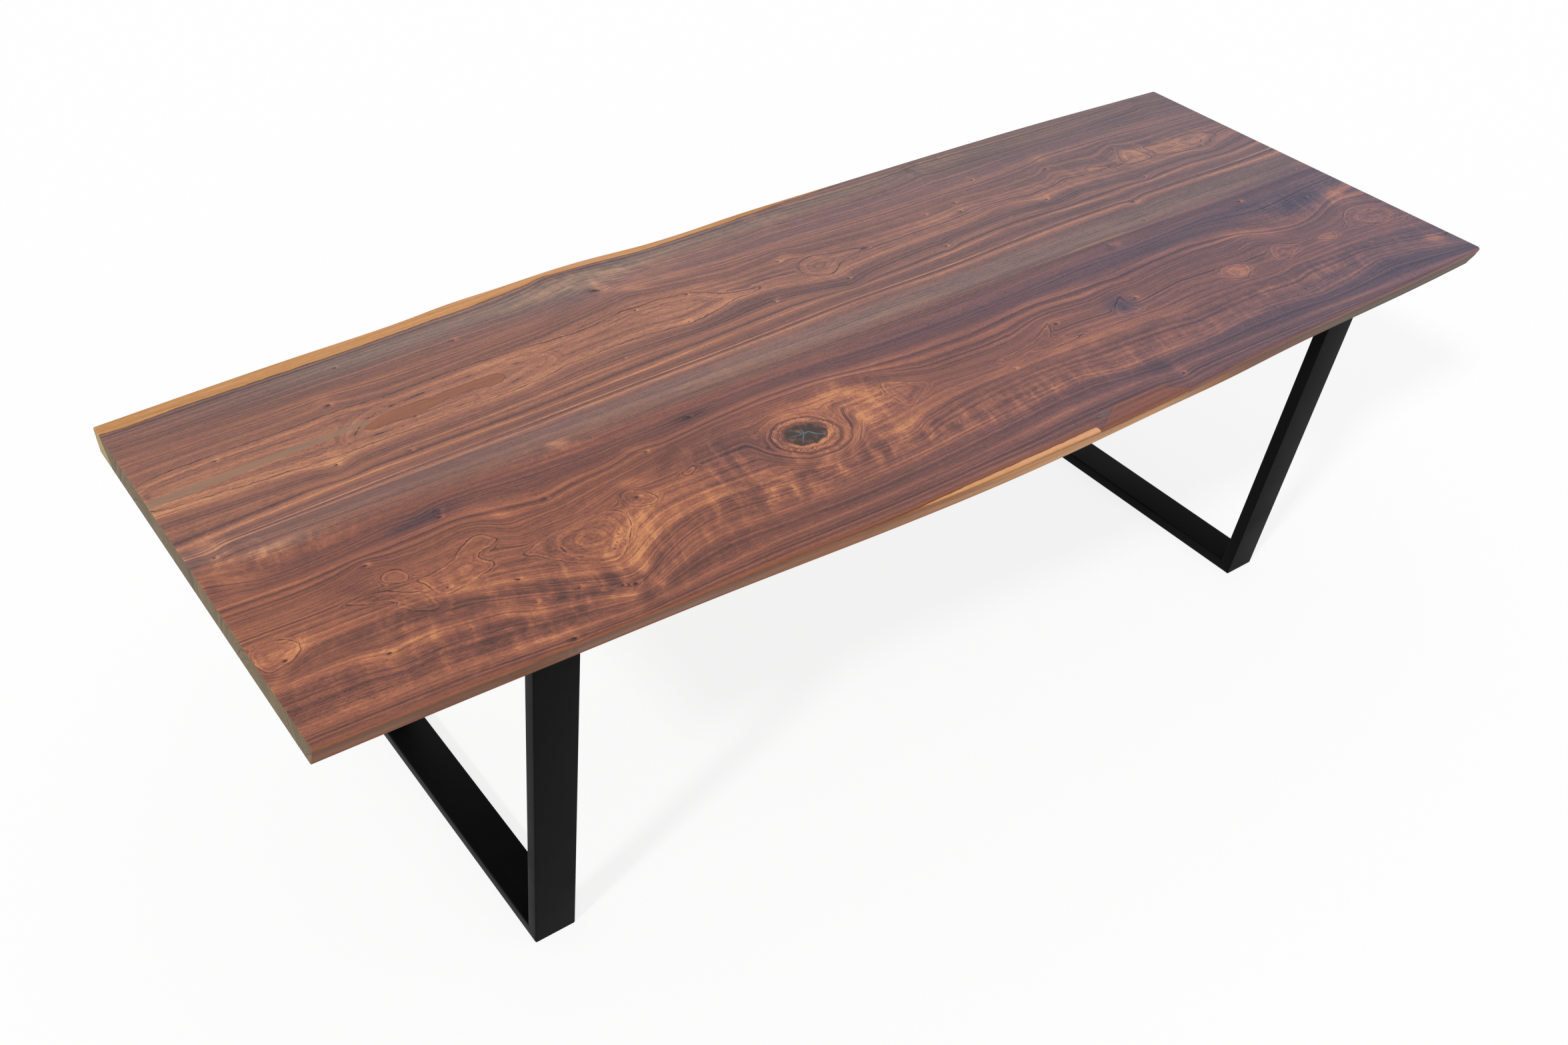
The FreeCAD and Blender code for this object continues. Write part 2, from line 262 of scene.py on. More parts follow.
REAR = {
    # Which way the board lies from the seam, along Y
    "side": 1,
    "stations": REAR_STATIONS,
    # Where the pith lies: Y, and how deep below the top
    "axis": 200.0,
    "depth": 90.0,
    # Level of the innermost ring in the flat-sawn middle, and tone added to the whole board
    "middle": 226.0,
    "base": 0.06,
    # How pale the sapwood is along X
    "pallor": ((-1219, 0.8), (-300, 0.9), (200, 0.7), (600, 0.45), (1219, 0.35)),
    # Lines that the grain follows: the level that a line stands for, then X and Y along it
    "lines": (
        (-10, ((-1219, -10), (1219, -10))),
        (12, (
            (-1219, 4), (-1180, -6), (-1150, 6), (-600, 9), (0, 10), (600, 15), (720, 11), (760, 14),
            (1219, 18),
        )),
        (60, (
            (-1219, 16), (-1180, 10), (-1160, 22), (-1000, 28), (-800, 35), (-600, 42), (-400, 47),
            (-200, 57), (0, 62), (200, 66), (400, 73), (600, 79), (740, 80), (765, 69), (800, 80),
            (1000, 75), (1219, 72),
        )),
        (74, (
            (-1219, 22), (-1180, 20), (-1165, 30), (-1000, 38), (-800, 46), (-600, 56), (-400, 60),
            (-200, 68), (0, 75), (200, 81), (400, 87), (600, 95), (740, 94), (765, 84), (800, 97),
            (1000, 96), (1219, 97),
        )),
        (108, (
            (-1219, 44), (-1000, 60), (-800, 68), (-600, 75), (-400, 84), (-200, 99), (0, 107),
            (200, 111), (300, 117), (400, 124), (450, 130), (600, 130), (740, 126), (800, 131),
            (880, 128), (1000, 135), (1130, 126), (1219, 132),
        )),
        (140, (
            (-1219, 93), (-1000, 92), (-948, 82), (-900, 93), (-800, 100), (-600, 110), (-400, 124),
            (-200, 130), (-92, 139), (0, 128), (70, 112), (130, 131), (200, 137), (290, 142), (312, 134),
            (340, 148), (500, 157), (560, 155), (640, 149), (700, 160), (800, 153), (868, 142),
            (900, 155), (1000, 160), (1100, 150), (1219, 162),
        )),
        (185, (
            (-1219, 136), (-1000, 128), (-950, 114), (-900, 129), (-800, 135), (-600, 142), (-500, 165),
            (-400, 174), (-300, 171), (-250, 167), (-150, 190), (-60, 186), (0, 172), (60, 158),
            (100, 172), (200, 184), (300, 190), (400, 191), (500, 206), (560, 204), (610, 184),
            (640, 194), (700, 198), (800, 192), (900, 185), (1040, 190), (1090, 172), (1150, 190),
            (1219, 202),
        )),
        (262, (
            (-1219, 235), (-1100, 248), (-1000, 252), (-920, 258), (-893, 270), (-860, 258), (-800, 250),
            (-700, 258), (-600, 272), (-500, 281), (-400, 298), (-300, 320), (-250, 302), (-200, 291),
            (-100, 275), (0, 284), (30, 292), (60, 276), (200, 262), (350, 258), (400, 262), (450, 268),
            (550, 255), (680, 254), (715, 281), (740, 266), (800, 262), (850, 250), (900, 277),
            (915, 287), (950, 268), (1000, 262), (1100, 272), (1219, 262),
        )),
        (315, (
            (-1219, 290), (-1000, 293), (-893, 301), (-800, 295), (-600, 302), (-500, 310), (-400, 324),
            (-330, 336), (-250, 336), (-200, 330), (-100, 318), (300, 312), (600, 312), (700, 320),
            (750, 332), (1000, 325), (1100, 315), (1219, 310),
        )),
        (405, (
            (-1219, 352), (-1100, 357), (-1000, 365), (-850, 370), (-700, 378), (-500, 386), (-450, 395),
            (-400, 410), (-350, 413), (-300, 405), (-250, 395), (-100, 398), (0, 398), (60, 408),
            (100, 403), (300, 403), (400, 410), (470, 424), (500, 415), (900, 410), (1100, 419),
            (1130, 428), (1160, 417), (1219, 415),
        )),
        (445, (
            (-1219, 383), (-1000, 396), (-800, 405), (-560, 423), (-440, 438), (-405, 449), (-350, 446),
            (-200, 436), (-130, 437), (0, 443), (250, 446), (450, 448), (480, 455), (900, 445),
            (1219, 440),
        )),
        (490, ((-1219, 428), (-800, 450), (-400, 478), (-200, 473), (400, 480), (1219, 470))),
    ),
    # How light the wood is from level to level
    "bands": (
        (-10, 0.42), (30, 0.36), (52, 0.34), (57, 0.62), (60, 0.95), (63, 0.6), (67, 0.16), (71, 0.4),
        (74, 0.86), (77, 0.42), (84, 0.3), (98, 0.33), (104, 0.5), (108, 0.96), (112, 0.62), (117, 0.22),
        (128, 0.42), (136, 0.36), (140, 0.82), (144, 0.4), (153, 0.22), (172, 0.3), (179, 0.45),
        (186, 0.72), (196, 0.5), (250, 0.5), (262, 0.26), (275, 0.5), (292, 0.36), (315, 0.56),
        (335, 0.36), (470, 0.3),
    ),
    # Pin knots: X, Y, radius
    "knots": (
        (-1097, 221, 3), (-893, 270, 3.2), (-948, 113, 3.2), (-838, 87, 3), (-790, 168, 2.6),
        (-635, 340, 3), (-475, 250, 2.4), (-320, 257, 2.6), (-212, 256, 2.8), (-260, 174, 2.6),
        (-420, 133, 2.2), (-92, 148, 2.6), (0, 265, 3), (75, 143, 2.4), (312, 141, 2.8), (360, 262, 2.8),
        (445, 270, 2.6), (432, 236, 3), (545, 330, 2.6), (617, 182, 3), (715, 285, 3), (765, 80, 3.4),
        (725, 10, 2.4), (870, 148, 2.6), (910, 281, 2.8), (1008, 357, 2.8), (-343, 355, 9),
        (-838, 367, 2.4), (1095, 192, 3.2), (1178, 0, 2.2), (-1182, 0, 2.4),
    ),
    # Soft light and dark places: X, Y, half widths, turn in degrees, amount
    "light": (
        (-420, 405, 150, 34, 6, 0.75), (-1150, 140, 170, 20, 0, 0.35), (-850, 135, 200, 18, 3, 0.3),
        (-700, 190, 120, 20, 0, 0.15), (-560, 130, 120, 20, 4, 0.35), (-1175, 22, 18, 34, -20, 0.8),
        (-1210, -4, 20, 12, 0, -0.6), (-944, 128, 14, 26, -15, 0.8), (-893, 290, 16, 12, 0, 0.5),
        (-1000, 315, 300, 20, 2, -0.2), (-200, 205, 130, 30, -3, 0.3), (-370, 413, 15, 14, 0, 0.9),
        (-330, 388, 6, 24, -12, 0.9), (-375, 395, 10, 14, 0, 0.6), (-282, 326, 40, 12, -28, 0.8),
        (-210, 325, 60, 12, -8, 0.5), (-405, 335, 60, 14, 20, -0.6), (-390, 378, 50, 8, 24, -0.6),
        (-300, 435, 120, 10, 0, -0.3), (-75, 229, 42, 7, 2, -0.8), (-190, 214, 26, 12, 0, -0.35),
        (-260, 178, 12, 8, 30, 0.7), (-84, 153, 14, 5, 35, 0.9), (18, 276, 20, 11, 10, 0.9),
        (70, 392, 12, 18, -20, 0.6), (78, 154, 10, 9, 40, 0.7), (360, 261, 18, 9, 0, 0.6),
        (455, 272, 20, 9, 0, 0.6), (430, 232, 20, 6, 0, -0.9), (462, 436, 30, 12, 20, -0.9),
        (310, 141, 10, 6, 20, 0.7), (540, 333, 14, 6, 25, 0.5), (735, 330, 18, 24, 20, 0.5),
        (722, 284, 10, 5, 30, 0.7), (622, 186, 16, 8, 35, 0.9), (600, 172, 16, 8, 0, -0.7),
        (775, 74, 12, 6, 15, 0.6), (875, 153, 10, 6, 30, 0.6), (1120, 185, 30, 12, 25, -0.5),
        (1140, 440, 20, 9, 0, -0.6), (920, 235, 40, 28, 0, 0.8), (795, 235, 26, 12, 0, 0.8),
        (1030, 222, 60, 22, 0, 0.55), (1110, 212, 40, 20, 0, 0.4), (660, 198, 130, 12, 4, 0.6),
        (-240, 378, 230, 34, 0, 0.5), (260, 375, 240, 30, 0, 0.3), (300, 225, 260, 24, 0, 0.2),
        (-720, 50, 340, 22, 0, 0.1), (-150, 36, 400, 24, 3, 0.4), (-180, 410, 160, 22, 0, 0.35),
        (250, 438, 220, 14, 0, 0.45), (560, 436, 120, 14, 0, 0.25), (-450, 4, 300, 14, 0, 0.3),
        (450, 26, 700, 16, 1, 0.3), (-740, 372, 150, 24, 3, 0.3), (-965, 160, 90, 18, 0, -0.4),
        (-990, 80, 90, 18, 2, 0.45), (-600, 120, 260, 18, 3, 0.3), (-440, 360, 110, 18, 0, -0.35),
        (-265, 400, 50, 18, 0, 0.4), (-200, 280, 90, 18, 0, 0.3),
    ),
    # Where the wood turns silvery grey, purple grey (partly its own tone, partly a painted sheen), and where
    # it is curly, in the same way
    "silver": (
        (0, 415, 900, 28, 2, 0.7), (-380, 398, 130, 42, 5, 0.5), (-750, 372, 250, 30, 3, 0.5),
        (200, 18, 1300, 30, 1, 0.5), (800, 400, 500, 40, 0, 0.2), (0, 230, 6000, 400, 0, 0.24),
    ),
    "cool_and_sheen": (
        (100, 20, 1700, 30, 0, 0.4), (-100, 200, 1300, 260, 0, 0.13), (-100, 355, 900, 45, 0, 0.35),
        (-400, 370, 160, 50, 10, 0.15), (0, 425, 700, 12, 0, 0.5), (-800, 395, 300, 12, 2, 0.3),
    ),
    "figure": (
        (-350, 400, 130, 50, 0, 0.7), (200, 230, 500, 60, 0, 0.2), (900, 225, 300, 60, 0, 0.4),
        (-1170, 15, 60, 40, 0, 0.8), (60, 430, 90, 40, 0, 0.4), (500, 430, 100, 30, 0, 0.5),
    ),
    # Closed lines in the flat-sawn middle
    "outlines": (
        (
            (-640, 226), (-600, 222), (-560, 214), (-520, 203), (-560, 188), (-600, 174), (-650, 160),
            (-760, 152), (-860, 152), (-900, 160), (-880, 185), (-850, 208), (-760, 222),
        ),
        (
            (-1240, 226), (-1100, 240), (-1000, 240), (-940, 246), (-880, 250), (-800, 246), (-720, 252),
            (-640, 258), (-480, 250), (-440, 248), (-370, 260), (-335, 270), (-300, 265), (-262, 269),
            (-240, 262), (-212, 261), (-182, 246), (-150, 218), (-110, 213), (-72, 205), (-110, 196),
            (-150, 195), (-190, 181), (-240, 171), (-262, 167), (-300, 170), (-340, 178), (-400, 176),
            (-500, 168), (-560, 155), (-640, 146), (-800, 138), (-940, 132), (-1100, 140), (-1240, 146),
        ),
        (
            (62, 252), (100, 238), (150, 227), (190, 219), (150, 212), (110, 206), (88, 190), (66, 172),
            (30, 180), (10, 205), (26, 238),
        ),
        (
            (885, 216), (880, 208), (905, 203), (955, 204), (960, 215), (950, 240), (948, 258),
            (925, 270), (913, 270), (900, 255), (888, 236),
        ),
        (
            (783, 223), (790, 245), (798, 250), (815, 235), (840, 228), (880, 232), (850, 221),
            (800, 219),
        ),
        ((1062, 224), (1080, 231), (1110, 230), (1120, 219), (1110, 205), (1095, 190), (1080, 202)),
        (
            (966, 248), (990, 254), (1020, 244), (1080, 250), (1130, 246), (1178, 214), (1140, 208),
            (1120, 190), (1060, 186), (1000, 196), (970, 210), (978, 228),
        ),
    ),
}

FRONT = {
    "side": -1,
    "stations": FRONT_STATIONS,
    "axis": -232.0,
    "depth": 70.0,
    "middle": 232.0,
    "base": 0.0,
    "pallor": (
        (-1219, 0.55), (-600, 0.62), (-270, 0.8), (-100, 0.98), (0, 1.05), (265, 1.08), (400, 0.85),
        (550, 0.55), (870, 0.3), (1219, 0.25),
    ),
    "lines": (
        (490, ((-1219, -440), (-800, -458), (-300, -478), (100, -487), (600, -468), (1219, -452))),
        (410, (
            (-1219, -392), (-1000, -400), (-850, -417), (-740, -425), (-600, -414), (-500, -410),
            (-300, -415), (0, -408), (100, -402), (300, -404), (355, -418), (400, -409), (600, -414),
            (800, -422), (1000, -432), (1219, -436),
        )),
        (355, (
            (-1219, -300), (-1100, -305), (-1063, -320), (-1000, -312), (-900, -327), (-850, -350),
            (-780, -370), (-720, -396), (-680, -386), (-600, -356), (-550, -348), (-450, -360),
            (-350, -365), (-200, -360), (0, -345), (200, -338), (290, -362), (400, -362), (500, -365),
            (600, -355), (700, -360), (800, -378), (900, -372), (1000, -356), (1100, -374), (1219, -405),
        )),
        (300, (
            (-1219, -270), (-1200, -282), (-1150, -266), (-1000, -266), (-930, -276), (-860, -306),
            (-800, -335), (-720, -375), (-690, -368), (-650, -340), (-600, -318), (-550, -305),
            (-500, -302), (-450, -312), (-340, -325), (-140, -322), (-100, -300), (0, -282), (130, -275),
            (300, -285), (450, -290), (520, -303), (700, -296), (790, -304), (840, -292), (1000, -300),
            (1100, -318), (1170, -338), (1219, -352),
        )),
        (230, (
            (-1219, -200), (-1020, -205), (-850, -222), (-700, -250), (-600, -205), (-300, -215),
            (-20, -206), (130, -225), (300, -215), (480, -228), (600, -215), (740, -235), (900, -240),
            (1150, -232), (1219, -232),
        )),
        (165, (
            (-1219, -150), (-1130, -155), (-1060, -147), (-1016, -132), (-980, -147), (-920, -150),
            (-880, -140), (-850, -140), (-825, -155), (-805, -180), (-760, -175), (-700, -172),
            (-640, -160), (-540, -146), (-500, -134), (-400, -122), (-200, -125), (-150, -127),
            (-100, -140), (-50, -166), (0, -187), (130, -192), (200, -186), (262, -166), (310, -162),
            (400, -173), (460, -163), (520, -168), (600, -160), (700, -156), (780, -162), (840, -150),
            (900, -183), (960, -195), (1040, -195), (1085, -176), (1150, -168), (1219, -200),
        )),
        (110, (
            (-1219, -106), (-1100, -112), (-950, -104), (-870, -98), (-800, -106), (-727, -128),
            (-680, -116), (-600, -112), (-545, -97), (-500, -106), (-400, -96), (-300, -87), (-200, -90),
            (-100, -107), (0, -114), (130, -118), (200, -112), (300, -103), (500, -110), (600, -104),
            (720, -100), (800, -112), (850, -128), (900, -148), (960, -163), (1000, -163), (1060, -148),
            (1130, -122), (1219, -110),
        )),
        (65, (
            (-1219, -42), (-1150, -75), (-1100, -80), (-1020, -76), (-950, -66), (-900, -70), (-860, -60),
            (-800, -60), (-700, -66), (-600, -70), (-430, -62), (-300, -62), (-200, -64), (-100, -72),
            (0, -80), (130, -80), (280, -75), (400, -66), (500, -58), (600, -62), (840, -50), (950, -63),
            (1219, -62),
        )),
        (10, ((-1219, -10), (1219, -10))),
    ),
    "bands": (
        (10, 0.45), (26, 0.4), (42, 0.46), (56, 0.4), (62, 0.2), (70, 0.36), (84, 0.26), (98, 0.34),
        (105, 0.5), (110, 0.72), (115, 0.46), (124, 0.34), (136, 0.62), (142, 0.4), (158, 0.5),
        (165, 0.22), (175, 0.46), (250, 0.48), (266, 0.55), (274, 0.6), (284, 0.4), (300, 0.26),
        (314, 0.46), (335, 0.36), (352, 0.62), (360, 0.4), (385, 0.28), (402, 0.36), (410, 0.72),
        (416, 0.4), (440, 0.36), (480, 0.42),
    ),
    "knots": (
        (-871, -75, 3.6), (-878, -89, 2.8), (-1015, -133, 3.2), (-725, -136, 2.8), (-940, -239, 3.2),
        (-1183, -255, 3.6), (-850, -278, 2.8), (-1065, -317, 3), (-853, -335, 2.8), (-788, -341, 2.8),
        (-718, -377, 4), (-735, -370, 2.4), (-847, -428, 3.2), (-425, -73, 3), (-535, -116, 2.8),
        (-608, -208, 3.4), (588, -25, 2.6), (955, -38, 3), (125, -255, 2.8), (290, -185, 3),
        (480, -198, 3.4), (365, -425, 2.4), (1045, -298, 2.4), (785, -350, 2.4), (1214, -358, 6),
        (1090, -100, 3),
    ),
    "light": (
        (-1190, -28, 24, 16, 20, 0.6), (-1100, -40, 90, 24, -5, 0.5), (-1208, -62, 14, 20, 0, -0.5),
        (-1190, -240, 34, 28, 0, 0.45), (-1148, -232, 26, 12, 60, 0.55), (-1203, -282, 22, 9, 45, 1.1),
        (-905, -80, 66, 17, 8, -1.15), (-805, -124, 40, 12, -45, 0.8), (-1035, -185, 44, 13, -45, -0.5),
        (-950, -228, 46, 26, 0, 0.1), (-1010, -240, 44, 20, -40, -0.5), (-860, -268, 60, 34, -20, 0.25),
        (-930, -290, 90, 13, -14, -0.8), (-800, -352, 60, 12, -24, -1.5), (-852, -345, 8, 26, -20, 0.9),
        (-780, -340, 14, 16, -30, 1.1), (-722, -300, 16, 46, -10, 0.5), (-672, -322, 85, 16, 48, 0.7),
        (-738, -345, 12, 26, -10, -0.9), (-745, -402, 26, 18, 0, 0.8), (-715, -405, 12, 30, 0, -0.7),
        (-688, -388, 9, 20, 10, 0.6), (-650, -272, 50, 34, 20, 0.5), (-600, -168, 34, 11, -25, 0.8),
        (-626, -200, 9, 22, -10, -0.9), (-540, -275, 90, 34, 0, 0.7), (-520, -152, 44, 11, 42, -0.7),
        (-545, -100, 22, 7, -20, 0.6), (-640, -22, 14, 14, 0, 0.7), (-665, -22, 10, 14, 0, -0.5),
        (-178, -185, 105, 60, -10, 0.85), (-168, -124, 13, 20, -30, 0.8), (-296, -150, 110, 26, 0, 0.7),
        (-420, -195, 60, 34, 0, -0.4), (-372, -235, 18, 36, 0, -0.7), (-420, -300, 20, 28, -25, 0.9),
        (-384, -278, 14, 22, -20, 0.7), (-350, -336, 12, 26, -35, 1.0), (-312, -305, 12, 28, -20, 1.3),
        (-392, -324, 10, 18, 0, 0.8), (-335, -290, 26, 16, 0, -0.6), (-240, -288, 44, 12, 0, -0.5),
        (-152, -300, 46, 22, 25, 1.1), (-122, -322, 7, 28, -20, 1.2), (-188, -332, 50, 9, 0, -0.6),
        (-210, -244, 60, 16, 32, 0.8), (-212, -226, 12, 20, -10, -0.9), (-425, -72, 34, 8, 0, -1.2),
        (120, -235, 26, 22, 0, 0.3), (300, -172, 70, 9, 0, 0.5), (440, -205, 26, 30, -30, -0.9),
        (484, -196, 14, 18, 0, 0.7), (366, -420, 8, 22, -15, 0.9), (338, -378, 30, 30, 0, -0.6),
        (870, -150, 60, 22, -25, 1.1), (1165, -128, 44, 34, 20, 1.5), (1075, -104, 50, 22, 10, -1.0),
        (725, -232, 34, 20, 0, 1.2), (860, -228, 34, 20, 0, 0.9), (992, -236, 26, 14, 0, 0.9),
        (1140, -240, 80, 34, 0, 0.7), (1182, -356, 28, 18, 0, 1.6), (960, -290, 120, 12, 0, 0.5),
        (1160, -378, 20, 18, 0, 0.4), (828, -336, 60, 14, 12, 0.7), (700, -308, 110, 9, -4, 0.5),
        (604, -34, 10, 12, -30, 0.9), (580, -36, 12, 10, 0, -0.7), (962, -40, 12, 9, -30, 0.6),
        (940, -52, 22, 9, 0, -0.7), (-850, -260, 300, 80, 0, 0.15), (-1050, -335, 100, 42, 0, 0.5),
        (-860, -400, 90, 26, 0, 0.5), (300, -264, 300, 22, -2, 0.7), (-296, -215, 60, 50, 0, 0.2),
        (-1050, -175, 50, 75, 0, -0.35), (-760, -272, 40, 28, 0, -0.5), (-685, -278, 30, 24, 0, 0.5),
        (-688, -355, 26, 40, -12, 0.35), (-605, -325, 40, 20, 0, 0.35), (-430, -160, 75, 60, 0, -0.6),
        (-455, -228, 35, 30, 0, -0.45), (-485, -328, 60, 20, 0, -0.4), (-1185, -65, 45, 35, 0, 0.6),
        (-1100, -24, 60, 14, 0, 0.35), (-700, -22, 330, 12, 0, 0.35), (930, -105, 60, 28, -10, 0.5),
        (590, -262, 120, 18, 0, -0.6), (600, -296, 230, 13, 0, 0.45), (1100, -252, 80, 28, 0, -0.5),
        (-1080, -415, 100, 14, 0, 0.4), (-300, -356, 150, 14, 0, -0.45), (-165, -300, 50, 40, 0, 0.4),
        (-165, -145, 50, 18, 0, 0.5), (-365, -160, 50, 30, 0, -0.35), (-765, -238, 60, 16, 0, -0.4),
    ),
    "silver": ((-450, -18, 700, 14, 0, 0.45), (-1090, -20, 60, 16, 0, 0.4)),
    "cool_and_sheen": (
        (250, -65, 1150, 45, 0, 0.25), (-430, -190, 90, 80, 0, 0.15), (500, -400, 800, 60, 0, 0.2),
        (-905, -80, 60, 16, 8, 0.3), (1075, -104, 60, 30, 0, 0.4), (440, -205, 40, 30, 0, 0.4),
        (1214, -358, 20, 14, 0, 1.0),
    ),
    "figure": (
        (-860, -290, 330, 90, 0, 0.7), (-440, -200, 70, 50, 0, 1.0), (-220, -225, 80, 60, 0, 1.0),
        (-400, -310, 110, 50, 0, 1.0), (-100, -327, 300, 30, 0, 0.9), (-1120, -40, 110, 36, 0, 1.0),
        (-640, -30, 60, 22, 0, 0.7), (1100, -110, 130, 50, 0, 0.8), (900, -330, 350, 50, 0, 0.6),
        (-800, -380, 200, 40, 0, 0.9), (300, -340, 300, 50, 0, 0.5), (-150, -170, 80, 50, 0, 0.8),
    ),
    "outlines": (
        (
            (-1012, -173), (-1000, -163), (-985, -160), (-975, -168), (-971, -188), (-984, -197),
            (-1000, -188),
        ),
        (
            (-978, -202), (-940, -200), (-905, -190), (-888, -172), (-868, -159), (-848, -156),
            (-836, -170), (-828, -186), (-878, -197), (-866, -214), (-858, -225), (-866, -236),
            (-900, -246), (-945, -253), (-957, -244), (-960, -225), (-966, -206),
        ),
        (
            (-1080, -190), (-1055, -208), (-1020, -221), (-1010, -229), (-1019, -238), (-1005, -250),
            (-998, -262), (-966, -276), (-964, -255), (-966, -230), (-1000, -212), (-1016, -194),
        ),
        (
            (-760, -231), (-740, -223), (-700, -220), (-672, -223), (-667, -245), (-676, -266),
            (-696, -290), (-715, -305), (-740, -292), (-760, -276), (-766, -250),
        ),
        ((-740, -246), (-716, -235), (-700, -244), (-694, -258), (-710, -273), (-732, -268)),
        (
            (-822, -236), (-800, -225), (-760, -213), (-700, -209), (-660, -211), (-644, -226),
            (-650, -262), (-682, -302), (-702, -318), (-717, -321), (-744, -306), (-775, -282),
            (-792, -262), (-802, -246),
        ),
        (
            (-631, -200), (-625, -186), (-610, -184), (-590, -204), (-579, -224), (-590, -236),
            (-615, -232), (-629, -220),
        ),
        ((-520, -196), (-505, -190), (-490, -184), (-489, -194), (-505, -204), (-518, -203)),
        (
            (-1219, -215), (-1190, -206), (-1165, -215), (-1154, -235), (-1160, -252), (-1185, -262),
            (-1206, -268), (-1219, -255),
        ),
        (
            (112, -217), (160, -214), (215, -207), (258, -186), (282, -174), (268, -196), (240, -222),
            (300, -238), (330, -241), (250, -243), (205, -240), (180, -230), (135, -243), (126, -232),
        ),
        (
            (410, -226), (420, -205), (440, -190), (466, -171), (453, -195), (455, -215), (470, -236),
            (440, -240),
        ),
        ((-60, -184), (-20, -207), (-60, -233), (-105, -252), (-108, -225), (-110, -190), (-100, -158)),
        (
            (685, -225), (700, -210), (725, -207), (745, -214), (762, -225), (758, -240), (740, -252),
            (718, -261), (703, -253), (689, -240),
        ),
        ((704, -228), (718, -219), (736, -227), (737, -240), (721, -249), (708, -241)),
        (
            (828, -231), (850, -208), (870, -198), (885, -205), (895, -215), (916, -220), (912, -236),
            (880, -246), (865, -252), (850, -263), (838, -253), (828, -241),
        ),
        ((957, -233), (975, -224), (1005, -224), (1026, -233), (1012, -246), (1003, -260), (985, -247)),
        (
            (1058, -232), (1080, -205), (1110, -182), (1150, -177), (1190, -190), (1230, -208),
            (1230, -262), (1180, -280), (1130, -266), (1090, -247),
        ),
        ((1098, -216), (1130, -200), (1180, -210), (1200, -235), (1170, -258), (1128, -251)),
    ),
}

# The big knot in the front board: its centre and half sizes, the light and dark round it above and
# below, the colours of its inside, and the outline of its dark heart
KNOT_CENTRE = (-295.0, -215.0)
KNOT_HALF = (38.0, 29.0)
KNOT_ABOVE = ((0.0, 0.35), (0.1, 0.0), (0.22, 0.05), (0.3, 0.55), (0.4, 0.4), (0.6, 0.5))
KNOT_BELOW = ((0.0, 0.4), (0.1, 0.15), (0.16, 0.75), (0.3, 0.95), (0.4, 0.4), (0.6, 0.5))
KNOT_INSIDE = ((0.0, "#43342f"), (0.06, "#513f3b"), (0.2, "#7a5647"))
KNOT_HEART = (
    (-333, -202), (-324, -192), (-312, -186), (-289, -187), (-272, -193), (-258, -214), (-256, -228),
    (-264, -240), (-280, -246), (-312, -243), (-327, -230), (-335, -216),
)

# Lower boundary of the rear board's sapwood along X
SAPWOOD = (
    (-1219, 383), (-1160, 384), (-1080, 392), (-1000, 396), (-900, 400), (-800, 405), (-700, 412),
    (-640, 418), (-560, 423), (-440, 438), (-405, 449), (-350, 446), (-300, 445), (-250, 440),
    (-200, 436), (-130, 437), (0, 443), (120, 452), (280, 460), (420, 467), (900, 463), (1219, 453),
)
# How deep under the front arris the side turns to sapwood, negative where it starts on the top
FRONT_SAPWOOD = (
    (-1219, 8), (-700, 7), (-420, 6), (-290, 4), (-240, -1), (-150, -5), (0, -7), (100, -9), (117, -9),
    (119, 6), (340, 6), (341, 8), (700, 9), (1219, 10),
)
WEDGE = ((-1225, 157), (-862, 187), (-862, 201), (-1225, 178))
FINGER = (
    (-874, 178), (-862, 171), (-800, 172), (-790, 165), (-780, 173), (-720, 186), (-680, 188),
    (-650, 181), (-628, 181), (-616, 189), (-614, 197), (-622, 208), (-640, 210), (-700, 206),
    (-730, 203), (-745, 197), (-757, 203), (-800, 203), (-840, 196),
)
CHIP = ((-738, -442.5), (-722, -440.5), (-697, -442), (-694, -446.5), (-715, -448), (-736, -446.5))
SEAM_LENS = ((430, -9.9), (720, -9.9), (640, -2.5), (520, -2.5))


def inside_distance(x, y, outline):
    """How far inside a closed outline each point lies, negative outside it."""
    near = np.full_like(x, np.inf)
    inside = np.zeros(len(x), bool)
    for (ax, ay), (bx, by) in zip(outline, outline[1:] + outline[:1]):
        run, rise = bx - ax, by - ay
        share = np.clip(((x - ax) * run + (y - ay) * rise) / (run**2 + rise**2), 0, 1)
        near = np.minimum(near, np.hypot(x - ax - share * run, y - ay - share * rise))
        if rise:
            inside ^= ((ay > y) != (by > y)) & (x < ax + (y - ay) * run / rise)
    return np.where(inside, near, -near)


def rounded_outline(outline):
    """The outline with its corners cut twice, so that it turns softly."""
    for _ in range(2):
        smooth = []
        for (ax, ay), (bx, by) in zip(outline, outline[1:] + outline[:1]):
            smooth += [(0.75 * ax + 0.25 * bx, 0.75 * ay + 0.25 * by),
                       (0.25 * ax + 0.75 * bx, 0.25 * ay + 0.75 * by)]
        outline = tuple(smooth)
    return outline


def soft_course(x, points):
    """Line through the points with its corners softened."""
    places, values = zip(*points)
    weights = {-18: 1, -9: 4, 0: 6, 9: 4, 18: 1}
    return sum(w * np.interp(x + step, places, values) for step, w in weights.items()) / 16


def grain_level(x, y, board):
    """Which growth layer each point lies in, read between the lines that the grain follows."""
    lines = sorted(board["lines"], key=lambda line: line[1][0][1])
    heights = [soft_course(x, points) for level, points in lines]
    level = np.full_like(x, float(lines[0][0]))
    for n in range(len(lines) - 1):
        share = (y - heights[n]) / np.maximum(heights[n + 1] - heights[n], 1.0)
        here = share > 0 if n == len(lines) - 2 else (share > 0) & (y <= heights[n + 1])
        here = here | (share <= 0) if n == 0 else here
        level[here] = (lines[n][0] + share * (lines[n + 1][0] - lines[n][0]))[here]
    return level


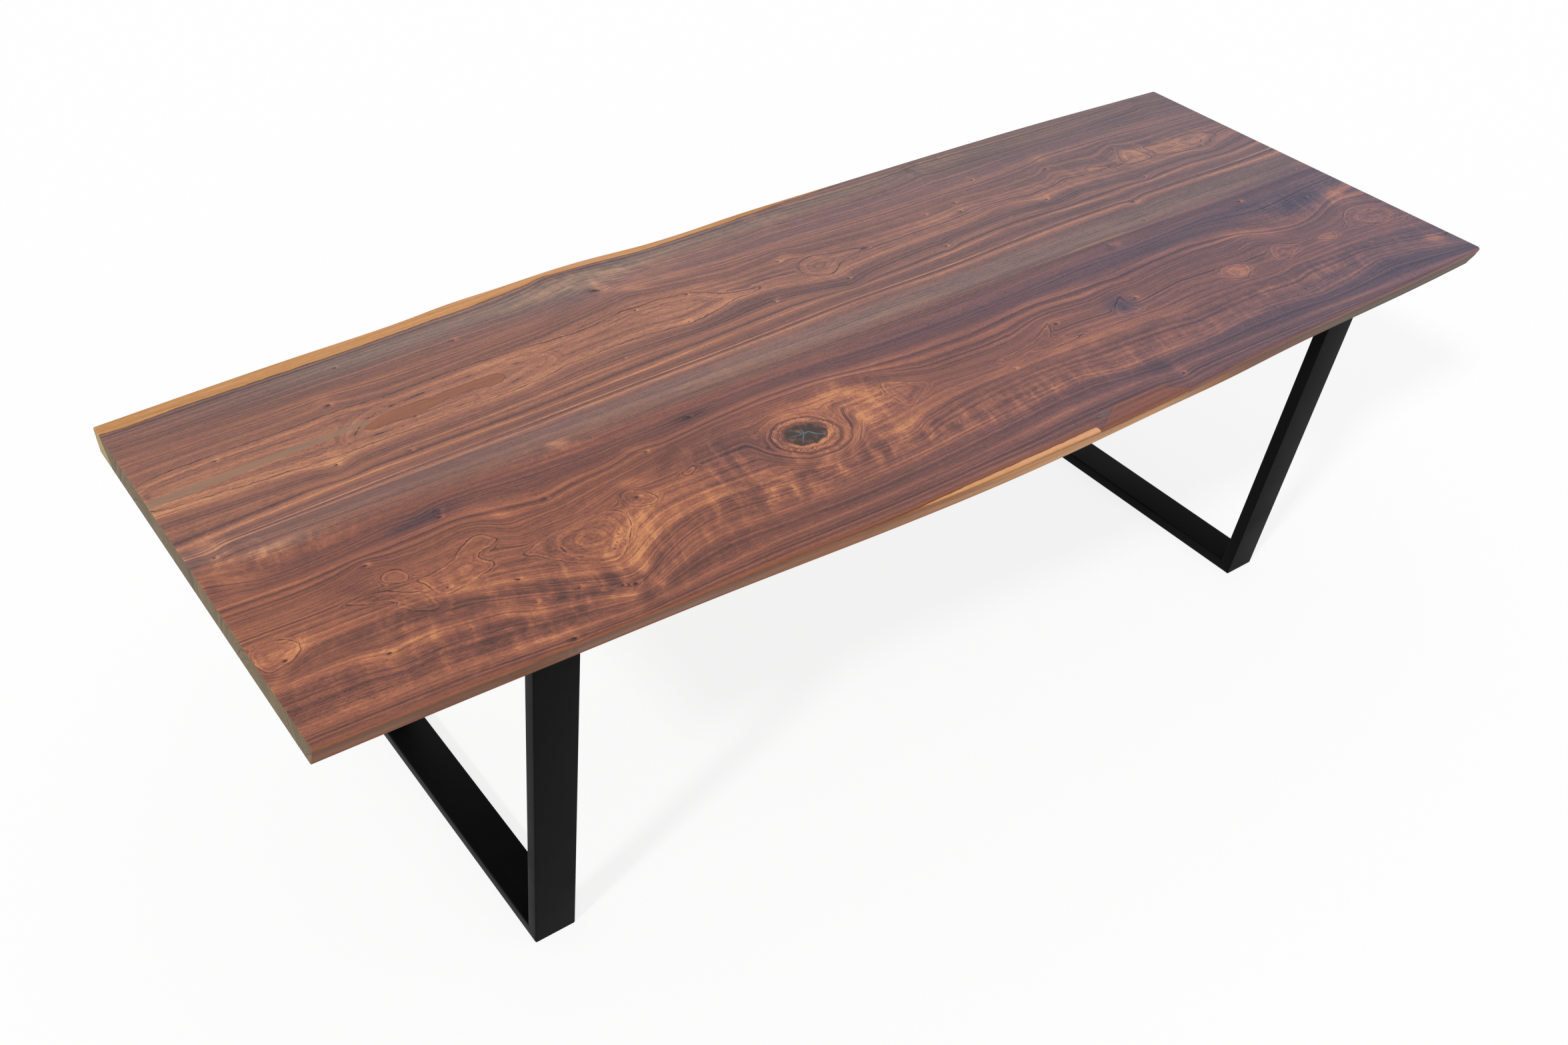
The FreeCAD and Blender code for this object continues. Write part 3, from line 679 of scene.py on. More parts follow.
def parted_fibres(x, y, flow, board):
    """Parts the fibres round each pin knot, and finds where each point lies from its nearest knot."""
    nearest = np.full_like(x, np.inf)
    across, along = np.zeros_like(x), np.zeros_like(x)
    for centre_x, centre_y, radius in board["knots"]:
        off_x = x - centre_x
        off_y = y - centre_y
        # As water parts round a post
        reach = PARTING_STRETCH * radius
        spread = (off_x / PARTING_STRETCH) ** 2 + off_y**2
        flow -= off_y * reach**2 / (spread + reach**2) * np.exp(-spread / (reach * 5) ** 2)
        far = np.hypot(off_x / KNOT_STRETCH, off_y) / radius
        closer = far < nearest
        nearest = np.where(closer, far, nearest)
        along[closer] = off_x[closer] / (KNOT_STRETCH * radius)
        across[closer] = off_y[closer] / radius
    return flow, along, across


def oval_distance(x, y, board):
    """How far each point lies from the nearest oval of the flat-sawn middle, negative outside all."""
    near = np.full_like(x, np.inf)
    within = np.zeros(len(x), bool)
    for outline in board["outlines"]:
        gap = inside_distance(x, y, rounded_outline(outline))
        near = np.minimum(near, np.abs(gap))
        within |= gap > 0
    return np.where(within, near, -near)


def grain_fields(x, y, z, board):
    """The grain at each point of a board, as vectors that the walnut material reads."""
    side = board["side"]
    drop = TOP - z
    flow, along, across = parted_fibres(x, y, y + side * LAYER_LEAN * drop, board)
    level = grain_level(x, flow, board)
    if side < 0:
        heart = inside_distance(x, y, KNOT_HEART)
        around = np.clip((heart + KNOT_REACH) / KNOT_BLEND, 0, 1)
        around = around * around * (3 - 2 * around)
        level = level * (1 - around) + (board["middle"] + heart) * around
    level += drift(x, level, 130, 26, LINE_SEED + side) * LINE_WAVER

    wobble = drift(x, y, 150, 34, END_SEED + side) * END_WAVER
    light = bells(x, y, board["light"])
    # Painted sheen: purple grey that grows towards the right end, on top of the wood's own purple grey
    # places
    right = np.clip((x - COOL_AND_SHEEN_START) / (COOL_AND_SHEEN_END - COOL_AND_SHEEN_START), 0, 1)
    cool_and_sheen = bells(x, y, board["cool_and_sheen"]) + 0.9 * right
    pallor = course(x, board["pallor"])
    figure = np.clip(bells(x, y, board["figure"]), 0, 1)
    if side > 0:
        sapwood = y - soft_course(x, SAPWOOD) + 0.9 * drop
        pale = np.maximum(inside_distance(x, y, WEDGE), inside_distance(x, y, SEAM_LENS))
        orange = inside_distance(x, y, FINGER)
    else:
        sapwood = -y - spline(board["stations"], 1, x) + drop - course(x, FRONT_SAPWOOD)
        # Painted shade on the front side, darkest just under the arris
        pallor -= 0.45 * course(drop, SIDE_PAINTED_SHADE)
        pale = inside_distance(x, y, CHIP)
        orange = np.full_like(x, FAR_OFF)
    # The third value of the knot field is the share of silvery grey
    return {
        "across": (y - board["axis"], board["depth"] - drop, wobble),
        "grain": (level, oval_distance(x, y, board), pallor),
        "tone": (light, cool_and_sheen, figure),
        "marks": (sapwood, pale, orange),
        "knot": (along, across, bells(x, y, board["silver"])),
    }


def paint_grain(mesh, board):
    """Stores the grain fields on a mesh."""
    place = np.zeros(len(mesh.vertices) * 3)
    mesh.vertices.foreach_get("co", place)
    place = place.reshape(-1, 3) / MM
    for name, values in grain_fields(*place.T, board).items():
        attribute = mesh.attributes.new(name, "FLOAT_VECTOR", "POINT")
        attribute.data.foreach_set("vector", np.stack(values, 1).astype(np.float32).ravel())


# Sizes of the walnut's patterns: a year's growth, the curl's waves and how far each runs across, and
# the ragged edges of the layers, of the big knot and of its rings
YEAR_WIDTH = 5.2
CURL_PITCH = 17.0
CURL_RUN = 70.0
RAGGED_SIZE = 16.0
KNOT_RAGGED = 22.0
KNOT_KNURL = 11.0


def weighed(tree, tone, *sources):
    """Adds sources to a tone, each by its own weight."""
    for source, weight in sources:
        tone = add(tree, MATH, (source, weight, tone), operation="MULTIPLY_ADD")
    return tone


def stretched(tree, spot, length, width, **settings):
    """Noise that is long along the fibres and narrow across them, in millimetres."""
    sizes = (length, width, width)
    spot = [add(tree, MATH, (value, 1 / size), operation="MULTIPLY") for value, size in zip(spot, sizes)]
    return add(tree, NOISE, {"Vector": add(tree, JOIN, spot), "Scale": 1.0, **settings})


def ring_noise(tree, radius, period, **settings):
    """Noise that changes from one growth layer to the next, in millimetres."""
    turn = add(tree, MATH, (radius, 1 / period), operation="MULTIPLY")
    return add(tree, NOISE, {"W": turn, "Scale": 1.0, **settings}, noise_dimensions="1D")


def board_radius(tree, layer, gap, middle):
    """Growth layers on a board's faces: along its lines, and closed in the ovals of its middle."""
    closed = add(tree, SHARE, (gap, -11.0, 1.0, 0.0, 1.0), interpolation_type="SMOOTHSTEP")
    turned = add(tree, MATH, (gap, 0.55, middle), operation="MULTIPLY_ADD")
    turned = add(tree, MATH, (turned, layer), operation="SUBTRACT")
    return add(tree, MATH, (turned, closed, layer), operation="MULTIPLY_ADD"), closed


def end_radius(tree, across):
    """Growth layers on a sawn end, round the pith."""
    spot = add(tree, JOIN, (across.outputs["X"], across.outputs["Y"], 0.0))
    radius = add(tree, VECTOR, [spot], operation="LENGTH").outputs["Value"]
    return add(tree, MATH, (radius, across.outputs["Z"]), operation="ADD")


def late_wood(tree, radius):
    """Dark late wood that ends each year's ring, strong in some years and faint in others."""
    count = add(tree, MATH, (radius, 1 / YEAR_WIDTH), operation="MULTIPLY")
    count = add(tree, MATH, (ring_noise(tree, radius, 31, Detail=1.0), 5.0, count), operation="MULTIPLY_ADD")
    year = add(tree, MATH, [count], operation="FLOOR")
    late = add(tree, MATH, (add(tree, MATH, [count], operation="FRACT"), 3.0), operation="POWER")
    weight = add(tree, "ShaderNodeTexWhiteNoise", {"W": year}, noise_dimensions="1D").outputs["Value"]
    weight = add(tree, MATH, (weight, 1.5), operation="POWER")
    return add(tree, MATH, (late, weight), operation="MULTIPLY")


def curl(tree, x, layer, waver, mottle, tones):
    """Curly figure: waves across the fibres that catch the light, and the blotches they gather in."""
    blotch = add(tree, MATH, (mottle, 0.5), operation="SUBTRACT")
    lean = weighed(tree, x, (layer, 0.3), (waver, 14.0), (blotch, 18.0))
    along = add(tree, MATH, (lean, 1 / CURL_PITCH), operation="MULTIPLY")
    side = add(tree, MATH, (layer, 1 / CURL_RUN), operation="MULTIPLY")
    spot = add(tree, JOIN, (along, side, 0.0))
    ripple = add(tree, NOISE, {"Vector": spot, "Scale": 1.0, "Detail": 3.0, "Roughness": 0.55})
    ripple = add(tree, MATH, (ripple, 0.5), operation="SUBTRACT")
    ripple = add(tree, MATH, (ripple, tones.outputs["Z"]), operation="MULTIPLY")
    # The dark half of each wave is the fainter one
    faint = add(tree, MATH, (ripple, 0.35), operation="MULTIPLY")
    ripple = add(tree, MATH, (ripple, faint), operation="MAXIMUM")
    figured = add(tree, MATH, (tones.outputs["Z"], 0.15), operation="ADD")
    blotch = add(tree, MATH, (blotch, figured), operation="MULTIPLY")
    spotted = add(tree, MATH, (mottle, 2.6, -0.3), operation="MULTIPLY_ADD")
    spotted = add(tree, MATH, (spotted, tones.outputs["X"]), operation="MULTIPLY")
    return ripple, blotch, spotted


def pin_knots(tree, knots, waver, ragged):
    """Pin knots: a small dark heart, and beside it curled fibres that shine."""
    spot = add(tree, JOIN, (knots.outputs["X"], knots.outputs["Y"], 0.0))
    far = add(tree, VECTOR, [spot], operation="LENGTH").outputs["Value"]
    far = weighed(tree, far, (waver, 1.5), (ragged, 1.5))
    heart = add(tree, SHARE, (far, 0.95, 0.25, 0.0, 0.85), interpolation_type="SMOOTHSTEP")
    shine = add(tree, SHARE, (far, 3.0, 0.9, 0.0, 1.0), interpolation_type="SMOOTHSTEP")
    beside = add(tree, SHARE, (knots.outputs["X"], -0.6, 1.6, -0.35, 1.0))
    return heart, add(tree, MATH, (shine, beside), operation="MULTIPLY")


def board_bands(tree, layer, streak, board):
    """The light and dark bands of a board's own layers, broken up along the fibres."""
    low, high = board["bands"][0][0], board["bands"][-1][0]
    share = add(tree, SHARE, (layer, low, high, 0.0, 1.0))
    stops = [((level - low) / (high - low), value) for level, value in board["bands"]]
    bands = add(tree, MATH, (add(tree, RAMP, [share], stops=stops), 0.42), operation="SUBTRACT")
    fade = add(tree, SHARE, (streak, 0.3, 0.62, 0.4, 0.95))
    return add(tree, MATH, (bands, fade), operation="MULTIPLY")


def oval_lines(tree, gap, mottle):
    """Dark lines along the ovals of the flat-sawn middle."""
    gap = add(tree, MATH, [gap], operation="ABSOLUTE")
    line = add(tree, SHARE, (gap, 1.7, 0.2, 0.0, 1.0), interpolation_type="SMOOTHSTEP")
    broken = add(tree, SHARE, (mottle, 0.4, 0.58, 0.1, 1.0))
    return add(tree, MATH, (line, broken), operation="MULTIPLY")


def big_knot(tree, x, y, tone):
    """The big knot: a checked heart in a black and orange rim, with rings spreading round it."""
    spot = add(tree, JOIN, (x, y, 0.0))
    rough_edge = add(
        tree,
        NOISE,
        {"Vector": spot, "Scale": 1 / KNOT_RAGGED, "Detail": 3.0, "Roughness": 0.6},
    )
    off = add(tree, VECTOR, (spot, (*KNOT_CENTRE, 0.0)), operation="SUBTRACT")
    off = add(tree, VECTOR, (off, (1 / KNOT_HALF[0], 1 / KNOT_HALF[1], 0.0)), operation="MULTIPLY")
    far = add(tree, VECTOR, [off], operation="LENGTH").outputs["Value"]
    up = add(tree, SPLIT, [off]).outputs["Y"]
    up = add(tree, MATH, (up, add(tree, MATH, (far, 0.05), operation="MAXIMUM")), operation="DIVIDE")
    far = add(tree, MATH, (far, 0.35), operation="SUBTRACT")
    far = add(tree, MATH, (rough_edge, 0.7, far), operation="MULTIPLY_ADD")
    # Rings, weaker outwards
    knurl = add(tree, NOISE, {"Vector": spot, "Scale": 1 / KNOT_KNURL, "Detail": 2.0})
    uneven = add(tree, MATH, (knurl, 0.45, far), operation="MULTIPLY_ADD")
    ring = ring_noise(tree, uneven, 0.11, Detail=3.0, Roughness=0.7)
    ring = add(tree, MATH, (ring, 0.5), operation="SUBTRACT")
    reach = add(tree, SHARE, (far, 0.9, 3.2, 1.15, 0.0), interpolation_type="SMOOTHSTEP")
    tone = add(tree, MATH, (add(tree, MATH, (ring, reach), operation="MULTIPLY"), tone), operation="ADD")
    # Black arc over it, light crescent below it, orange rim between
    share = add(tree, SHARE, (far, 0.85, 1.85, 0.0, 1.0))
    above = add(tree, RAMP, [share], stops=KNOT_ABOVE)
    below = add(tree, RAMP, [share], stops=KNOT_BELOW)
    turn = add(tree, SHARE, (up, -0.55, 0.15, 0.0, 1.0), interpolation_type="SMOOTHSTEP")
    rim = add(tree, MIX, {FACTOR: turn, UNDER_COLOUR: below, OVER_COLOUR: above}, data_type="RGBA")
    rim = add(tree, MATH, (rim, 0.5), operation="SUBTRACT")
    tone = add(tree, MATH, (rim, 0.62, tone), operation="MULTIPLY_ADD")
    heart = add(tree, SHARE, (far, 0.98, 0.88, 0.0, 1.0), interpolation_type="SMOOTHSTEP")
    return tone, heart


def walnut(name, warm, cool_and_sheen, sap, rough, figure, board=None):
    """Oiled walnut, cut from the grain fields: rings, streaks, fibres, pores, curl and knots."""
    material, tree, shader = new_material(name, Specular_IOR_Level=0.2)
    place = add(tree, PLACE).outputs["Object"]
    place = add(tree, SPLIT, [add(tree, VECTOR, {0: place, "Scale": 1 / MM}, operation="SCALE")])
    across, grain, tones, marks, knots = (
        add(tree, SPLIT, [add(tree, "ShaderNodeAttribute", attribute_name=field).outputs["Vector"]])
        for field in ("across", "grain", "tone", "marks", "knot")
    )
    x, y = place.outputs["X"], place.outputs["Y"]
    layer = (grain if board else across).outputs["X"]
    fibres = (x, layer, place.outputs["Z"])

    # Growth layers, with a slow waver and a ragged edge
    waver = add(tree, MATH, (stretched(tree, fibres, 60, 9, Detail=2.0), 0.5), operation="SUBTRACT")
    spot = add(tree, JOIN, (x, y, 0.0))
    ragged = add(tree, NOISE, {"Vector": spot, "Scale": 1 / RAGGED_SIZE, "Detail": 3.0})
    ragged = add(tree, MATH, (ragged, 0.5), operation="SUBTRACT")
    if board:
        gap = weighed(tree, grain.outputs["Y"], (waver, 3.0), (ragged, 6.0))
        radius, closed = board_radius(tree, layer, gap, board["middle"])
    else:
        radius = end_radius(tree, across)
    radius = weighed(tree, radius, (waver, 3.6), (ragged, 2.0))
    late = late_wood(tree, radius)
    band = ring_noise(tree, radius, 8.5, Detail=4.0, Roughness=0.72)

    # Colour streaks, fibres and open pores
    streak = stretched(tree, fibres, 240, 5.5, Detail=4.0, Roughness=0.65)
    wide = stretched(tree, fibres, 500, 45, Detail=2.0)
    fibre = stretched(tree, fibres, 13, 0.9, Detail=2.0, Roughness=0.7)
    pore = stretched(tree, fibres, 5, 0.55, Detail=1.0)
    pore = add(tree, SHARE, (pore, 0.56, 0.70, 0.0, 1.0), interpolation_type="SMOOTHSTEP")

    mottle = stretched(tree, fibres, 48, 22, Detail=4.0, Roughness=0.62)
    ripple, blotch, spotted = curl(tree, x, layer, waver, mottle, tones)
    pin, shine = pin_knots(tree, knots, waver, ragged)

    # How much each pattern lightens the wood or darkens it
    streaks = ((band, 0.64), (streak, 0.52), (wide, 0.26), (fibre, 0.55))
    tone = 0.57 - 0.5 * sum(weight for source, weight in streaks)
    tone = weighed(tree, tone, *streaks, (late, -0.4), (pore, -0.24), (ripple, 1.35 * figure),
                   (blotch, 0.65 * figure), (spotted, 0.2), (shine, 0.26))
    if board:
        bands = board_bands(tree, layer, streak, board)
        line = oval_lines(tree, gap, mottle)
        tone = weighed(tree, tone, (bands, 0.86), (line, -0.52), (closed, 0.03), (1.0, board["base"]))
    if board is FRONT:
        tone, heart = big_knot(tree, x, y, tone)

    # Light streaks in the heartwood, then the sapwood with a dark line at its edge
    edge = weighed(tree, marks.outputs["X"], (waver, 5.0), (ragged, 3.0))
    finger = weighed(tree, marks.outputs["Z"], (ragged, 3.0))
    # The sapwood's pallor carries the painted shade of the front side
    pallor = weighed(tree, -0.62, (streak, 0.7), (fibre, 0.5), (late, -0.12), (grain.outputs["Z"], 1.0))
    # The purple grey layer: the wood's own tone and a painted sheen
    layers = [(tones.outputs["Y"], add(tree, RAMP, [tone], stops=cool_and_sheen))]
    if board:
        layers.append((knots.outputs["Z"], add(tree, RAMP, [tone], stops=SILVER)))
    for source, start, end, most, layer_colour in (
        (marks.outputs["Y"], -0.8, 1.2, 0.75 if board else 0.0, paint("#957660")),
        (finger, -2.2, -0.6, 0.55, paint("#5f3b30")),
        (finger, -0.4, 1.6, 0.45, paint("#a96c4e")),
        # Front only: an orange band on the rolled arris, partly the wood's own orange tone and partly a
        # painted highlight
        (edge, -9.0, -4.0, 0.6 if board is FRONT else 0.0, paint("#8f5531")),
        (edge, -3.0, -0.2, 0.6, paint("#472a1e")),
        (edge, -0.2, 1.5, 1.0, add(tree, RAMP, [pallor], stops=sap)),
    ):
        share = add(tree, SHARE, (source, start, end, 0.0, most), interpolation_type="SMOOTHSTEP")
        layers.append((share, layer_colour))
    layers.append((pin, paint("#2c1a16")))
    if board is FRONT:
        layers.append((heart, add(tree, RAMP, [ragged], stops=KNOT_INSIDE)))
    colour = add(tree, RAMP, [tone], stops=warm)
    for share, layer_colour in layers:
        inputs = {FACTOR: share, UNDER_COLOUR: colour, OVER_COLOUR: layer_colour}
        colour = add(tree, MIX, inputs, data_type="RGBA")

    roughness = weighed(tree, rough - 0.08, (fibre, 0.16), (pore, 0.2))
    skin = weighed(tree, 0.0, (fibre, 0.4), (pore, -1.0))
    finish_shader(tree, shader, colour, roughness, skin, strength=0.35, depth=0.12)
    return material


# Oiled walnut faces: red brown heartwood that turns purple grey towards one end, partly its own tone and
# partly a painted sheen, orange tan sapwood
WARM = ((0.0, "#392a28"), (0.25, "#5c3c36"), (0.5, "#825144"), (0.75, "#ab6b50"), (1.0, "#d39162"))
COOL_AND_SHEEN = ((0.0, "#2f2e41"), (0.25, "#433e53"), (0.5, "#5e505f"), (0.75, "#886467"), (1.0, "#b67d6c"))
SILVER = ((0.0, "#3c3836"), (0.25, "#5a504d"), (0.5, "#7d6a64"), (0.75, "#a1806e"), (1.0, "#c49b80"))
SAP = ((0.0, "#4c3322"), (0.3, "#7a441f"), (0.55, "#9b6232"), (0.76, "#bd874e"), (0.92, "#cf9567"),
       (1.0, "#d9a077"))
PATCH = ((0.0, "#4a3432"), (0.25, "#67443f"), (0.5, "#84544b"), (0.75, "#9a6352"), (1.0, "#b27a5c"))
rear_walnut = walnut("oiled_walnut_rear", WARM, COOL_AND_SHEEN, SAP, 0.46, 1.0, REAR)
front_walnut = walnut("oiled_walnut_front", WARM, COOL_AND_SHEEN, SAP, 0.46, 1.0, FRONT)
# The patch: redder, even walnut from another board
patch_walnut = walnut("oiled_walnut_patch", PATCH, PATCH, PATCH, 0.5, 0.5, FRONT)
# Sawn and oiled end grain: duller and greener, because the open fibre ends soak up the oil
END_WARM = ((0.0, "#33271b"), (0.3, "#4e402c"), (0.55, "#66563c"), (0.8, "#7b694b"), (1.0, "#8d7a5b"))
# The end grain's purple grey carries the painted sheen too
END_COOL_AND_SHEEN = ((0.0, "#2b2424"), (0.3, "#453a36"), (0.55, "#5a4e46"), (0.8, "#6e6156"), (1.0, "#807264"))
END_SAP = ((0.0, "#54432e"), (0.3, "#695536"), (0.6, "#8a754c"), (0.85, "#a18d62"), (1.0, "#ae9b72"))
end_grain_walnut = walnut("end_grain_walnut", END_WARM, END_COOL_AND_SHEEN, END_SAP, 0.62, 0.0)


# Edges that turn further than this are shaded sharp
SHARP_ANGLE = math.radians(35)


def object_from(name, verts, faces, materials, smooth=True):
    """A mesh object in metres from points in millimetres."""
    mesh = bpy.data.meshes.new(name)
    mesh.from_pydata([tuple(v * MM for v in point) for point in verts], [], faces)
    for material in materials:
        mesh.materials.append(material)
    if smooth:
        mesh.shade_smooth()
    else:
        mesh.shade_flat()
    made = bpy.data.objects.new(name, mesh)
    bpy.context.scene.collection.objects.link(made)
    return made


def face_outwards(mesh):
    """Turns all faces of a closed mesh outwards."""
    work = bmesh.new()
    work.from_mesh(mesh)
    bmesh.ops.recalc_face_normals(work, faces=work.faces)
    work.to_mesh(mesh)
    work.free()


def arc(steps):
    """Turns from 0 to a right angle."""
    return np.linspace(0, math.pi / 2, steps + 1)


# How many steps a board's skin has along X, and how many lines run along its top and its underside
STEPS_ALONG = 430
LINES_ACROSS = 82
# The sides' ripples, and the place of the bend in a side as shares of its height and its undercut
RIPPLE_HEIGHT = 0.35
RIPPLE_LENGTH = 26.0
BEND_DROP = 0.45 * THICK
BEND_SHARE = 0.35


def make_board(name, board):
    """One board: a closed skin of lines along X, which follow its two edges and roll over them."""
    side = board["side"]
    seam = side * SEAM_Y
    eased = HALF_LENGTH - END_EASE
    tips = [(HALF_LENGTH - END_EASE * (1 - math.sin(t)), END_EASE * (1 - math.cos(t))) for t in arc(3)]
    steps = [(-far, inset) for far, inset in reversed(tips)]
    steps += [(x, 0.0) for x in np.linspace(-eased, eased, STEPS_ALONG)[1:-1]]
    steps += tips
    x = np.array([s[0] for s in steps])
    inset = np.array([s[1] for s in steps])
    upper = spline(board["stations"], 1, x)
    lower = spline(board["stations"], 2, x)
    # Shallow ripples of the sanded bark side, always inwards
    ripple = drift(x, 0 * x, RIPPLE_LENGTH, 1, EDGE_SEED + side)
    ripple = RIPPLE_HEIGHT * (1 + np.clip(ripple * 0.6, -1, 1))
    undercut = upper - lower

    lines = []
    for share in np.linspace(0, 1, LINES_ACROSS):
        lines.append((seam + (upper - ROLL_WIDTH - seam) * share, TOP + 0 * x))
    for t in arc(8)[1:]:
        reach = upper - ROLL_WIDTH * (1 - math.sin(t)) - ripple * math.sin(t) ** 2
        lines.append((reach, TOP - ROLL_DEPTH * (1 - math.cos(t)) + 0 * x))
    for share in (0.3, 0.6, 1.0):
        drop = ROLL_DEPTH + (BEND_DROP - ROLL_DEPTH) * share
        lines.append((upper - undercut * BEND_SHARE * share - ripple, TOP - drop + 0 * x))
    start = lines[-1][0]
    low = UNDER + LOWER_ROUNDING
    for share in (0.25, 0.5, 0.75):
        z = TOP - BEND_DROP + (low - TOP + BEND_DROP) * share
        lines.append((start + (lower - start) * share - 0.3 * ripple * share, z + 0 * x))
    for t in arc(5):
        z = UNDER + LOWER_ROUNDING * (1 - math.sin(t))
        lines.append((lower - LOWER_ROUNDING * (1 - math.cos(t)), z + 0 * x))
    bottom = len(lines) - 1
    for share in np.linspace(1, 0, LINES_ACROSS)[1:]:
        lines.append((seam + (lower - LOWER_ROUNDING - seam) * share, UNDER + 0 * x))
    for share in (0.33, 0.67):
        lines.append((seam + 0 * x, UNDER + THICK * share + 0 * x))

    middle = (TOP + UNDER) / 2
    squeeze = 1 - inset * 2 / THICK
    grid = []
    for reach, z in lines:
        total = upper - seam
        reach = seam + (reach - seam) * (total - inset) / total
        grid.append(np.stack([x, side * reach, middle + (z - middle) * squeeze], 1))
    grid = np.stack(grid, 1)
    count_x, count_k = grid.shape[:2]
    at = np.arange(count_x * count_k).reshape(count_x, count_k)
    following = np.roll(at, -1, 1)
    faces = np.stack([at[:-1], at[1:], following[1:], following[:-1]], -1).reshape(-1, 4).tolist()
    # The ends are closed with strips between the top and the underside
    for row in (0, count_x - 1):
        top_side = at[row, :LINES_ACROSS]
        under_side = at[row, bottom : bottom + LINES_ACROSS][::-1]
        for n in range(LINES_ACROSS - 1):
            faces.append([top_side[n], top_side[n + 1], under_side[n + 1], under_side[n]])
        faces.append(at[row, LINES_ACROSS - 1 : bottom + 1].tolist())
        faces.append([top_side[0], under_side[0], at[row, -2], at[row, -1]])
    finish = rear_walnut if side > 0 else front_walnut
    made = object_from(name, grid.reshape(-1, 3), faces, (finish, end_grain_walnut))
    face_outwards(made.data)
    return made


def prisms(name, outlines, low, high):
    """Upright prisms over outlines in plan, as one object."""
    verts, faces = [], []
    for outline in outlines:
        first, count = len(verts), len(outline)
        verts += [(x, y, z) for z in (low, high) for x, y in outline]
        lower = [first + n for n in range(count)]
        upper = [first + count + n for n in range(count)]
        faces += [lower[::-1], upper]
        faces += [[lower[n - 1], lower[n], upper[n], upper[n - 1]] for n in range(count)]
    made = object_from(name, verts, faces, (), smooth=False)
    face_outwards(made.data)
    return made


def carve(body, tool, operation):
    """Cuts a tool from a body, or keeps what they share."""
    change = body.modifiers.new("carve", "BOOLEAN")
    change.object = tool
    change.operation = operation
    change.solver = "EXACT"
    graph = bpy.context.evaluated_depsgraph_get()
    mesh = bpy.data.meshes.new_from_object(body.evaluated_get(graph))
    body.modifiers.remove(change)
    old = body.data
    body.data = mesh
    bpy.data.meshes.remove(old)
    mesh.name = body.name


PATCH_OUTLINE = ((118, -490), (118, -472), (190, -429.5), (300, -430), (340, -466), (340, -490))
PATCH_DEPTH = 10.0
CHIP_DEPTH = 3.0
# How far a cutting block stands past the face that it opens
PAST_TOP = 20.0
PAST_UNDER = 5.0
POCKET_RADIUS = 6.1
POCKET_DEPTH = 24.0
POCKET_SIDES = 32

rear_board = make_board("rear_walnut_board", REAR)
front_board = make_board("front_walnut_board", FRONT)
patch = front_board.copy()
patch.data = front_board.data.copy()
patch.name = "walnut_edge_patch"
bpy.context.scene.collection.objects.link(patch)
patch_space = prisms("patch_space", [PATCH_OUTLINE], TOP - PATCH_DEPTH, TOP + PAST_TOP)
carve(patch, patch_space, "INTERSECT")
carve(front_board, patch_space, "DIFFERENCE")
bpy.data.objects.remove(patch_space)
# A splinter is missing from the front edge
splinter = prisms("splinter", [CHIP], TOP - CHIP_DEPTH, TOP + PAST_TOP)
carve(front_board, splinter, "DIFFERENCE")
bpy.data.objects.remove(splinter)
# Pockets for the threaded inserts
for board, side in ((rear_board, 1), (front_board, -1)):
    turns = np.linspace(0, 2 * math.pi, POCKET_SIDES + 1)[:-1]
    circle = [(POCKET_RADIUS * math.cos(t), POCKET_RADIUS * math.sin(t)) for t in turns]
    rounds = [
        [(leg_x + u, side * row + v) for u, v in circle]
        for leg_x in (-LEG_X, LEG_X)
        for row in BOLT_ROWS
    ]
    pockets = prisms("pockets", rounds, UNDER - PAST_UNDER, UNDER + POCKET_DEPTH)
    carve(board, pockets, "DIFFERENCE")
    bpy.data.objects.remove(pockets)
for node, bodies in (("knot_resin", (front_board,)), ("edge_resin", (front_board, patch))):
    # The cutter is the resin's own shape, standing a little proud so that it opens the top
    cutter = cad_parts[node].copy()
    cutter.data = cutter.data.copy()
    bpy.context.scene.collection.objects.link(cutter)
    for vertex in cutter.data.vertices:
        if vertex.co.z > (TOP - 1) * MM:
            vertex.co.z += MM
    for body in bodies:
        carve(body, cutter, "DIFFERENCE")
    bpy.data.objects.remove(cutter)


def finish_faces(made):
    """Sets which faces are end grain, and how they are shaded."""
    mesh = made.data
    for face in mesh.polygons:
        face.material_index = 1 if abs(face.normal.x) > 0.9 else 0
    mesh.set_sharp_from_angle(angle=SHARP_ANGLE)


for made, board, node in (
    (rear_board, REAR, "rear_board"),
    (front_board, FRONT, "front_board"),
    (patch, FRONT, "edge_patch"),
):
    paint_grain(made.data, board)
    if made is patch:
        made.data.materials[0] = patch_walnut
    finish_faces(made)
    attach(made, "root")
    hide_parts(node)


# Finishes of the leg frames, the fasteners and the resin

# Black powder coat: a satin, slightly pebbled skin. The pebble is 1.5 mm across, drawn at 3 mm.
black_coat, tree, shader = new_material("black_powder_coat", Specular_IOR_Level=0.04)
place = add(tree, PLACE).outputs["Object"]
pebble = add(tree, NOISE, {"Vector": place, "Scale": 1 / (3 * MM), "Detail": 2.0})
cloud = add(tree, NOISE, {"Vector": place, "Scale": 1 / (90 * MM), "Detail": 3.0})
shade = add(tree, RAMP, [cloud], stops=((0.3, "#060607"), (0.7, "#0a0a0b")))
sheen = add(tree, SHARE, (cloud, 0.3, 0.7, 0.44, 0.54))
finish_shader(tree, shader, shade, sheen, pebble, strength=0.25, depth=0.2)


